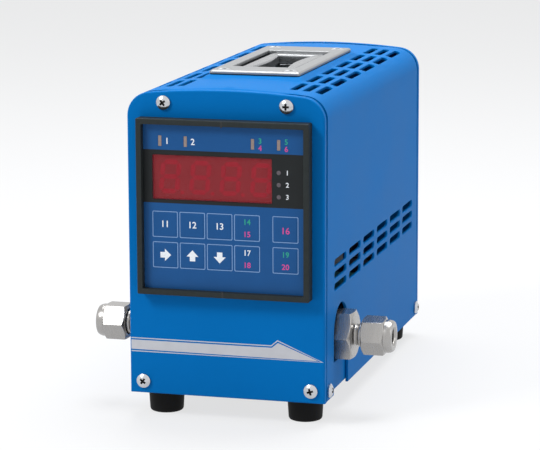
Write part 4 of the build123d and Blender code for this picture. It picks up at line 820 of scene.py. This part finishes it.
flat_head = screw_head(2.85, 0.35, 0.1, 2.8, 0.9, 0.9)
flat_head_z = plate_z - 0.2
places = [
    facing((sx * handle_screw_x, sy * handle_screw_y, flat_head_z), (0, 0, 1), 15 + 40 * sx + 20 * sy)
    for sx in (-1, 1) for sy in (-1, 1)
]
copies("handle_screw_heads", flat_head, places, ["zinc", "recess_shade"], nodes=["handle_screws"],
       slot="bright_screw", weighted=False)


# Panel meter

bezel_depth = bezel_high.y - bezel_low.y
film_half = 33.7
film_y = film_low.y + 0.25
outer_steps = [(0.42, 0.0), (0.3, 0.03), (0.12, 0.12), (0.03, 0.3), (0.0, 0.5), (0.0, bezel_depth)]
inner_steps = [(0.15, 0.0), (0.04, 0.04), (0.0, 0.15), (0.0, bezel_depth)]
bezel_width = 72.0
bezel_mesh = plate(rounded_rect(0, meter_z, bezel_width, bezel_width, 0.6), outer_steps, front(bezel_low.y),
                   holes=[rounded_rect(0, meter_z, 2 * film_half, 2 * film_half, 0.4)],
                   hole_layers=[inner_steps])
to_piece("bezel_frame", bezel_mesh, "bezel", nodes=["meter_bezel"], slot="black_plastic")
# Painted shade: a thin black mark at the middle of the bezel's top and bottom rims stands for the shadow in
# its notches
for sign in (-1, 1):
    notch_shade = rounded_rect(0, meter_z + sign * 34.55, 0.55, 2.6, 0.1, 2)
    to_piece(f"bezel_notch_shade_{'top' if sign > 0 else 'bottom'}",
             plate(notch_shade, [(0, 0), (0, 0.5)], front(bezel_low.y - 0.015)), "black", weighted=False)

band_top = 23.2
band_bottom = 1.5
window_cx, window_cz = -4.85, meter_z + 12.1
window_w, window_h = 49.9, 18.2
bar_xs = (-26.55, -15.85, 12.15, 22.95)
bar_z = meter_z + 26.8
film_thickness = 0.5


def film_area(name, low, high, mat, holes=(), **options):
    """A stretch of the keypad film between two heights from the meter's centre."""
    height = high - low
    loop = rounded_rect(0, meter_z + (low + high) / 2, 2 * film_half - 0.1, height, 0.0)
    mesh = plate(loop, [(0, 0), (0, film_thickness)], front(film_y), holes=holes)
    return to_piece(name, mesh, mat, **options)


window_hole = rounded_rect(window_cx, window_cz, window_w, window_h, 0.15, 2)
bar_holes = [rounded_rect(x, bar_z, 1.5, 4.4, 0.2, 2) for x in bar_xs]
film_area("film_keys", -film_half, band_bottom, "film", nodes=["membrane_keypad"], slot="blue_film")
film_area("film_band", band_bottom, band_top, "film_black", holes=[window_hole], slot="blue_film")
film_area("film_head", band_top, film_half, "film", holes=bar_holes, slot="blue_film")

window_mesh = plate(rounded_rect(window_cx, window_cz, window_w - 0.1, window_h - 0.1, 0.15, 2),
                    edge_layers(1.0, top=0.1, bottom=0.05, steps=2), front(film_y + 0.12))
to_piece("window_pane", window_mesh, "window", nodes=["meter_window"], slot="red_window")
digit_y = film_y + 1.3
digit_mesh = plate(rounded_rect(window_cx, window_cz, window_w - 0.2, window_h - 0.2, 0.0),
                   [(0, 0), (0, 6.0)], front(digit_y))
to_piece("digit_block", digit_mesh, "digit_face", nodes=["digit_module"], slot="black_plastic",
         weighted=False)


def segment_loops(x, z, width, height, stroke, lean, gap=0.22):
    """The seven strokes of a digit whose lower left corner is at x, z, leaning to the right."""
    mid = height / 2
    h = stroke / 2

    def bar(x0, x1, level):
        return [(x0 + gap, level), (x0 + gap + h, level - h), (x1 - gap - h, level - h), (x1 - gap, level),
                (x1 - gap - h, level + h), (x0 + gap + h, level + h)]

    def post(low, high, at):
        return [(at, low + gap), (at + h, low + gap + h), (at + h, high - gap - h), (at, high - gap),
                (at - h, high - gap - h), (at - h, low + gap + h)]

    left, right = h, width - h
    loops = [bar(left, right, level) for level in (h, mid, height - h)]
    loops += [post(h, mid, at) for at in (left, right)] + [post(mid, height - h, at) for at in (left, right)]
    return [[(x + u + lean * v, z + v) for u, v in loop] for loop in loops]


digit_pitch = 12.7
digit_start = -28.05
digits = bmesh.new()
for column in range(4):
    x = digit_start + digit_pitch * column
    for loop in segment_loops(x + 0.4, meter_z + 5.3, 8.6, 13.8, 1.9, 0.09):
        plate(loop, [(0, 0), (0, 0.1)], front(digit_y - 0.1), bm=digits)
    dot = circle(x + 10.4, meter_z + 5.9, 0.8, 16)
    plate(dot, [(0, 0), (0, 0.1)], front(digit_y - 0.1), bm=digits)
to_piece("digit_segments", digits, "segment", weighted=False)

# Indicator lenses: four bars in the head of the film and three dots beside the window
leds = bmesh.new()
for x in bar_xs:
    plate(rounded_rect(x, bar_z, 1.4, 4.3, 0.2, 2), edge_layers(1.0, top=0.15, bottom=0.05, steps=2),
          front(film_y + 0.02), bm=leds)
to_piece("led_bars", leds, "led", nodes=["indicator_leds"], slot="white_lens")
dots = bmesh.new()
for z in (15.7, 10.8, 5.9):
    plate(circle(22.95, meter_z + z, 0.9, 24), edge_layers(0.3, top=0.12, bottom=0.02, steps=2),
          front(film_y - 0.08), bm=dots)
to_piece("led_dots", dots, "led_dark", slot="white_lens")


# Print on the film: key frames, arrows and plain numerals

PRINT = 0.04
dome = 0.14
key_xs = (-24.65, -13.2, -1.75, 9.7, 25.65)
key_zs = (-7.2, -19.8)
key_size = 10.7


def printed(loop, y, bm=None, holes=()):
    """A thin print on a face at y."""
    return plate(loop, [(0, 0), (0, PRINT)], front(y - PRINT), holes=holes, bm=bm)


key_line = 0.3
key_inner = key_size - 2 * key_line
frames = bmesh.new()
for row, z in enumerate(key_zs):
    for column, x in enumerate(key_xs):
        printed(rounded_rect(x, meter_z + z, key_size, key_size, 0.5, 3), film_y, frames,
                [rounded_rect(x, meter_z + z, key_inner, key_inner, 0.35, 3)])
        if column == 3 or (column == 4 and row == 1):
            printed(rounded_rect(x, meter_z + z - 0.2, 7.4, 0.28, 0.0), film_y, frames)
to_piece("print_key_frames", frames, "line", weighted=False)

pads = bmesh.new()
for z in key_zs:
    for x in key_xs:
        plate(rounded_rect(x, meter_z + z, key_size - 1.1, key_size - 1.1, 0.8, 4),
              [(0.5, 0.0), (0.25, 0.03), (0.0, dome)], front(film_y - dome), bm=pads, back=False)
to_piece("key_domes", pads, "film", weighted=True)


def arrow_loop(cx, cz, turn):
    """A block arrow about a centre, turned by degrees from pointing right."""
    shape = [(-2.1, -1.15), (-0.2, -1.15), (-0.2, -2.5), (2.4, 0.0), (-0.2, 2.5), (-0.2, 1.15), (-2.1, 1.15)]
    c, s = math.cos(math.radians(turn)), math.sin(math.radians(turn))
    return [(cx + c * x - s * y, cz + s * x + c * y) for x, y in shape]


white = bmesh.new()
for x, turn in zip(key_xs, (0, 90, -90)):
    printed(arrow_loop(x, meter_z + key_zs[1], turn), film_y - dome, white)
to_piece("print_arrows", white, "white", weighted=False)


def numeral(name, text, x, z, height, mat, lift=0.0):
    """A plain numeral as a thin solid, centred on x and z."""
    curve = bpy.data.curves.new(name, "FONT")
    curve.body = text
    curve.size = height / 0.7 * MM
    curve.extrude = PRINT / 2 * MM
    curve.offset = 0.02 * height * MM
    curve.align_x = "CENTER"
    curve.align_y = "CENTER"
    curve.resolution_u = 3
    carrier = add_object(name, curve)
    bpy.context.view_layer.update()
    mesh = bpy.data.meshes.new_from_object(carrier.evaluated_get(bpy.context.evaluated_depsgraph_get()))
    bpy.data.objects.remove(carrier)
    mesh.transform(Matrix.Translation((x * MM, (film_y - lift - PRINT / 2) * MM, z * MM))
                   @ Matrix.Rotation(math.pi / 2, 4, "X"))
    mesh.materials.clear()
    mesh.materials.append(MATERIALS[mat])
    piece = add_object(name, mesh)
    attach(piece, BODY)
    return piece


# Name, text, column, row, rise above the key's middle, height and colour
KEY_LABELS = [
    ("1", "11", 0, 0, 0.0, 2.6, "white"), ("2", "12", 1, 0, 0.0, 2.6, "white"),
    ("3", "13", 2, 0, 0.0, 2.6, "white"), ("4a", "14", 3, 0, 2.3, 2.2, "green"),
    ("4b", "15", 3, 0, -2.7, 2.2, "pink"), ("5", "16", 4, 0, -0.6, 2.6, "pink"),
    ("6a", "17", 3, 1, 2.3, 2.2, "white"), ("6b", "18", 3, 1, -2.7, 2.2, "pink"),
    ("7a", "19", 4, 1, 2.3, 2.2, "green"), ("7b", "20", 4, 1, -2.7, 2.2, "pink"),
]
# Name, text, place, height and colour
LAMP_LABELS = [
    ("bar_1", "1", -23.5, 26.7, 2.5, "white"), ("bar_2", "2", -12.7, 26.7, 2.5, "white"),
    ("bar_3a", "3", 15.3, 28.1, 2.1, "green"), ("bar_3b", "4", 15.3, 25.2, 2.1, "pink"),
    ("bar_4a", "5", 26.1, 28.1, 2.1, "green"), ("bar_4b", "6", 26.1, 25.2, 2.1, "pink"),
    ("dot_1", "1", 26.5, 15.7, 1.9, "white"), ("dot_2", "2", 26.5, 10.8, 1.9, "white"),
    ("dot_3", "3", 26.5, 5.9, 1.9, "white"),
]
for name, text, column, row, rise, height, mat in KEY_LABELS:
    numeral("numeral_key_" + name, text, key_xs[column], meter_z + (key_zs[row] + rise), height, mat, dome)
for name, text, x, z, height, mat in LAMP_LABELS:
    numeral("numeral_" + name, text, x, meter_z + z, height, mat)


# Flow arrow on the front plate: a silver bar with an arrow head, and a thin outline around it

def arrow_loop_at(inset):
    """The arrow's outline, moved in by a distance: a long bar that ends in a slanted head."""
    left = -half_width + 0.55
    loop = [(left, 17.3), (40.7, 17.35), (21.5, 25.5), (18.8, 23.2), (left, 23.2)]
    loop = moved_in([(x, floor_z + z) for x, z in loop], inset)
    return [(left if i in (0, 4) else x, z) for i, (x, z) in enumerate(loop)]


to_piece("flow_arrow", printed(arrow_loop_at(1.0), front_y), "silver", weighted=False)
to_piece("flow_arrow_outline", printed(arrow_loop_at(0.0) + arrow_loop_at(0.42)[::-1], front_y), "silver",
         weighted=False)


# Tube fittings

def hex_radius(angle, flats):
    """Distance from the axis to a hexagon's side at an angle in degrees from a flat's middle."""
    local = (angle + 30) % 60 - 30
    return flats / 2 / math.cos(math.radians(local))


def hexagon(bm, flats, x0, x1, inner0, inner1, turn, place, steps=72, face_share=0.955):
    """A hexagon along the axis with cone-chamfered ends, from inner radius to inner radius."""
    face = flats / 2 * face_share
    slope = math.tan(math.radians(30))
    rings = [[], [], [], [], [], []]
    for i in range(steps):
        angle = 360 * i / steps
        radius = hex_radius(angle, flats)
        reach = (radius - face) * slope
        radii = (inner0, face, radius, radius, face, inner1)
        xs = (x0, x0, x0 + reach, x1 - reach, x1, x1)
        c, s = math.cos(math.radians(angle + turn)), math.sin(math.radians(angle + turn))
        for ring, r, x in zip(rings, radii, xs):
            ring.append(bm.verts.new(place(r * c, r * s, x)))
    bridge(bm, rings)


def fitting_place(side):
    return lambda x, y, h: (side * h, flow_y + x, flow_z + y)


# Starts and ends are measured from the middle of the case
adapter_flats = 19.0
adapter_turn = 30.0
adapter_start = 38.3
adapter_end = 47.2
nut_flats = 14.3
nut_start = 50.6
nut_end = 60.3
turned = {"slot": "stainless", "sharp": 28, "bevel": 0.12}
for side, node, nut_turn in ((-1, "inlet", 31.5), (1, "outlet", 39.0)):
    place = fitting_place(side)
    adapter = bmesh.new()
    hexagon(adapter, adapter_flats, adapter_start, adapter_end, 5.5, 4.5, adapter_turn, place)
    neck = eased([(5.4, 46.9), (4.9, 47.25), (4.4, 47.7), (4.4, 49.0),
                  (5.0, 49.25), (5.0, 50.45), (4.6, 50.6), (4.6, 52.0)], 0.25)
    lathe(neck, place, bm=adapter)
    sleeve = [(5.4, 51.5), (5.4, 57.6), (4.2, 57.6), (3.25, 56.0), (3.25, 50.0), (2.4, 50.0), (2.4, 45.0)]
    lathe(sleeve, place, bm=adapter)
    to_piece(node + "_adapter_body", adapter, "steel", nodes=[node + "_adapter"], **turned)
    nut = bmesh.new()
    hexagon(nut, nut_flats, nut_start, nut_end, 5.5, 6.6, nut_turn, place)
    end = eased([(6.85, 59.9), (6.85, 60.5), (6.85, 61.6), (6.55, 62.7), (6.1, 63.5),
                 (4.1, 63.5), (3.35, 62.8), (3.3, 59.9), (5.4, 59.7)], 0.35, 4)
    lathe(end, place, bm=nut)
    lathe([(5.5, nut_start), (5.5, 53.0)], place, bm=nut)
    to_piece(node + "_nut_body", nut, "steel", nodes=[node + "_nut"], **turned)


# Rear fittings

cavity = [(-12.3, -8.3), (12.3, -8.3), (12.3, 3.1), (7.1, 8.3), (-7.1, 8.3), (-12.3, 3.1)]
cavity = [(inlet_centre[0] + x, inlet_centre[1] + z) for x, z in cavity]
screw_holes = [circle(side * inlet_screw_x, inlet_centre[1], 1.7) for side in (-1, 1)]
inlet_flange = 2.8
inlet_depth = 18.0
inlet = bmesh.new()
plate(rounded_rect(*inlet_centre, 50.0, 22.6, 3.0), edge_layers(inlet_flange, 0.5, 0.1, 3),
      behind(rear_y + inlet_flange), holes=[cavity] + screw_holes, bm=inlet,
      hole_layers=[[(0.0, 0.0), (0.0, inlet_flange)]] + [edge_layers(inlet_flange, 0.1, 0.1, 1)] * 2)
plate(rounded_rect(*inlet_centre, 27.0, 19.6, 0.5), [(0, 0), (0, inlet_depth)], behind(rear_y),
      holes=[cavity], bm=inlet)
plate(rounded_rect(*inlet_centre, 26.0, 18.6, 0.3), [(0, 0), (0, 1.9)], behind(rear_y - 13.3), bm=inlet)
to_piece("mains_inlet_moulding", inlet, "black", nodes=["mains_inlet"], slot="black_plastic", sharp=40)
pin_length = 18.0
pins = bmesh.new()
for x, z in ((-7.0, -2.0), (7.0, -2.0), (0.0, 2.0)):
    plate(rounded_rect(inlet_centre[0] + x, inlet_centre[1] + z, 2.0, 4.0, 0.4, 3),
          edge_layers(pin_length, 0.5, 0.1, 3), behind(rear_y + 0.8), bm=pins)
to_piece("mains_pin_blades", pins, "brass", nodes=["mains_pins"], slot="nickel_brass")

switch_rim = 2.0
switch_depth = 14.0
switch = bmesh.new()
opening = rounded_rect(*switch_centre, 10.3, 12.4, 0.3, 2)
plate(rounded_rect(*switch_centre, 21.0, 15.0, 1.0), edge_layers(switch_rim, 0.5, 0.1, 3),
      behind(rear_y + switch_rim), holes=[opening], hole_layers=[edge_layers(switch_rim, 0.2, 0.1, 2)],
      bm=switch)
plate(rounded_rect(*switch_centre, 17.0, 13.0, 0.4), [(0, 0), (0, switch_depth)], behind(rear_y),
      holes=[opening], bm=switch)
to_piece("switch_housing", switch, "black", nodes=["power_switch_body"], slot="black_plastic")

rocker = bmesh.new()
rocker_radius = 5.85
rocker_width = 9.6
pivot_y = rear_y - 0.5
rocker_outline = [(2.4, 0.0), (3.02, 5.0)]
rocker_outline += arc(0, 0, rocker_radius, 59, 115, 6)
rocker_outline += arc(0, 0, rocker_radius, 245, 301, 6)
rocker_outline += [(3.02, -5.0)]
tip = math.radians(-7)


def place_rocker(u, v, depth):
    y = u * math.cos(tip) - v * math.sin(tip)
    z = u * math.sin(tip) + v * math.cos(tip)
    return switch_centre[0] - rocker_width / 2 + depth, pivot_y + y, switch_centre[1] + z


plate(rocker_outline, edge_layers(rocker_width, 0.35, 0.35, 2), place_rocker, bm=rocker)
to_piece("switch_rocker", rocker, "black", body=ROCKER, nodes=["power_switch_rocker"], slot="black_plastic")

shell = bmesh.new()
plate(rounded_rect(*signal_centre, 31.0, 12.6, 1.5), edge_layers(1.0, 0.25, 0.1, 2), behind(rear_y + 1.0),
      bm=shell)
plate(rounded_rect(*signal_centre, 16.6, 8.2, 2.0), edge_layers(5.5, 0.4, 0.1, 3), behind(rear_y + 6.0),
      bm=shell)
to_piece("signal_shell", shell, "brass", nodes=["signal_connector"], slot="nickel_brass")
insulator = bmesh.new()
socket_pitch = 2.8
socket_holes = [
    circle(signal_centre[0] + (i - (count - 1) / 2) * socket_pitch, signal_centre[1] + rise, 0.6, 12)
    for count, rise in ((5, 1.4), (4, -1.4)) for i in range(count)
]
plate(rounded_rect(*signal_centre, 15.4, 7.0, 1.6), edge_layers(0.4, 0.1, 0.05, 1), behind(rear_y + 6.25),
      holes=socket_holes, bm=insulator)
to_piece("signal_insulator", insulator, "black", slot="black_plastic")
post_x = 12.5
posts = bmesh.new()
for side in (-1, 1):
    hexa = arc(side * post_x, signal_centre[1], 2.77, 0, 360, 6)[:-1]
    plate(hexa, edge_layers(5.0, 0.3, 0.1, 2), behind(rear_y + 6.0),
          holes=[circle(side * post_x, signal_centre[1], 1.3, 20)], bm=posts)
to_piece("signal_post_hexes", posts, "brass", nodes=["signal_posts"], slot="nickel_brass")


# CAD nodes that stay: inner pieces and plain ones take their materials

CARRIED = {
    "paint": ["chassis"],
    "steel": ["flow_block", "laminar_element", "sensor_housing", "sensor_lid", "sensor_tube",
              "front_ferrules", "back_ferrules"],
    "board": ["sensor_board", "supply_board", "display_board", "meter_main_board"],
    "zinc": ["sensor_board_pillars", "block_spacers", "block_screws", "meter_clamp_screws", "foot_screws"],
    "black": ["sensor_plug", "filter_capacitors", "voltage_regulator", "meter_case", "meter_terminals",
              "meter_clamps"],
    "rubber": ["adapter_seals"],
    "brass": ["supply_pillars", "fuse_clips"],
    "core": ["transformer_core"],
    "copper": ["transformer_coil"],
    "sink": ["heat_sink"],
    "glass": ["fuse"],
}
for mat, nodes in CARRIED.items():
    for node in nodes:
        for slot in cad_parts[node].material_slots:
            slot.material = MATERIALS[mat]


# Floor, world, lamps and camera

def seen_share(tree):
    """1 for what the camera sees by itself, through glass or in a mirror, and otherwise 0."""
    path = tree.nodes.new("ShaderNodeLightPath")
    total = path.outputs["Is Camera Ray"]
    for kind in ("Is Transmission Ray", "Is Glossy Ray"):
        either = tree.nodes.new("ShaderNodeMath")
        either.operation = "MAXIMUM"
        tree.links.new(total, either.inputs[0])
        tree.links.new(path.outputs[kind], either.inputs[1])
        total = either.outputs[0]
    return total


def mix_white(tree, share, dim, white, output):
    """Shows a share of plain white in place of a dim shader."""
    white.inputs["Color"].default_value = (1, 1, 1, 1)
    white.inputs["Strength"].default_value = 1.0
    mix = tree.nodes.new("ShaderNodeMixShader")
    tree.links.new(share, mix.inputs[0])
    tree.links.new(dim.outputs[0], mix.inputs[1])
    tree.links.new(white.outputs[0], mix.inputs[2])
    tree.links.new(mix.outputs[0], output.inputs["Surface"])


floor_mesh = bmesh.new()
bmesh.ops.create_grid(floor_mesh, x_segments=1, y_segments=1, size=3000)
floor_data = bpy.data.meshes.new("floor")
bmesh.ops.scale(floor_mesh, vec=(MM, MM, MM), verts=floor_mesh.verts)
floor_mesh.to_mesh(floor_data)
floor_mesh.free()
floor = add_object("floor", floor_data)
floor_mat = bpy.data.materials.new("pale_floor")
floor_mat.use_nodes = True
tree = floor_mat.node_tree
tree.nodes.clear()
out = tree.nodes.new("ShaderNodeOutputMaterial")
diffuse = tree.nodes.new("ShaderNodeBsdfDiffuse")
diffuse.inputs["Color"].default_value = (0.68, 0.69, 0.71, 1)
white_share = 0.72
share = tree.nodes.new("ShaderNodeMath")
share.operation = "MULTIPLY"
share.inputs[1].default_value = white_share
tree.links.new(seen_share(tree), share.inputs[0])
mix_white(tree, share.outputs[0], diffuse, tree.nodes.new("ShaderNodeEmission"), out)
floor_data.materials.append(floor_mat)

world = bpy.data.worlds.new("studio")
bpy.context.scene.world = world
world.use_nodes = True
tree = world.node_tree
tree.nodes.clear()
out = tree.nodes.new("ShaderNodeOutputWorld")
dim = tree.nodes.new("ShaderNodeBackground")
dim.inputs["Color"].default_value = (0.95, 0.97, 1.0, 1)
dim.inputs["Strength"].default_value = 0.42
mix_white(tree, seen_share(tree), dim, tree.nodes.new("ShaderNodeBackground"), out)


def lamp(name, position, target, size, power, size_y=None):
    """A soft rectangular lamp that looks at a target. Positions are in metres."""
    light = bpy.data.lights.new(name, "AREA")
    light.shape = "RECTANGLE"
    light.size = size
    light.size_y = size_y or size
    light.energy = power
    holder = add_object(name, light)
    holder.location = position
    aim = Vector(target) - Vector(position)
    holder.rotation_euler = aim.to_track_quat("-Z", "Y").to_euler()
    return holder


middle = (0, 0, 0.075)
lamp("key_lamp", (-0.72, -0.8, 0.95), (0, -0.05, 0.1), 0.42, 10.5)
lamp("top_lamp", (0.05, 0.25, 1.0), (0, 0, 0.12), 0.8, 11.0, 0.5)
lamp("side_lamp", (1.1, -0.2, 0.55), middle, 0.6, 1.6)

camera_data = bpy.data.cameras.new("camera")
camera_data.sensor_width = 36.0
camera_data.lens = 172.39
camera_data.clip_start = 0.01
camera_data.clip_end = 20.0
camera = add_object("camera", camera_data)
camera_place = (0.292138, -1.066673, 0.273937)
yaw, pitch, roll = 0.27244, 0.1862, -0.004
forward = Vector((-math.sin(yaw) * math.cos(pitch), math.cos(yaw) * math.cos(pitch), -math.sin(pitch)))
level = Vector((math.cos(yaw), math.sin(yaw), 0))
upright = level.cross(forward)
right = math.cos(roll) * level + math.sin(roll) * upright
up = right.cross(forward)
rotated = Matrix((right, up, -forward)).transposed().to_4x4()
camera.matrix_world = Matrix.Translation(camera_place) @ rotated
bpy.context.scene.camera = camera

bpy.context.scene.view_settings.view_transform = "Standard"
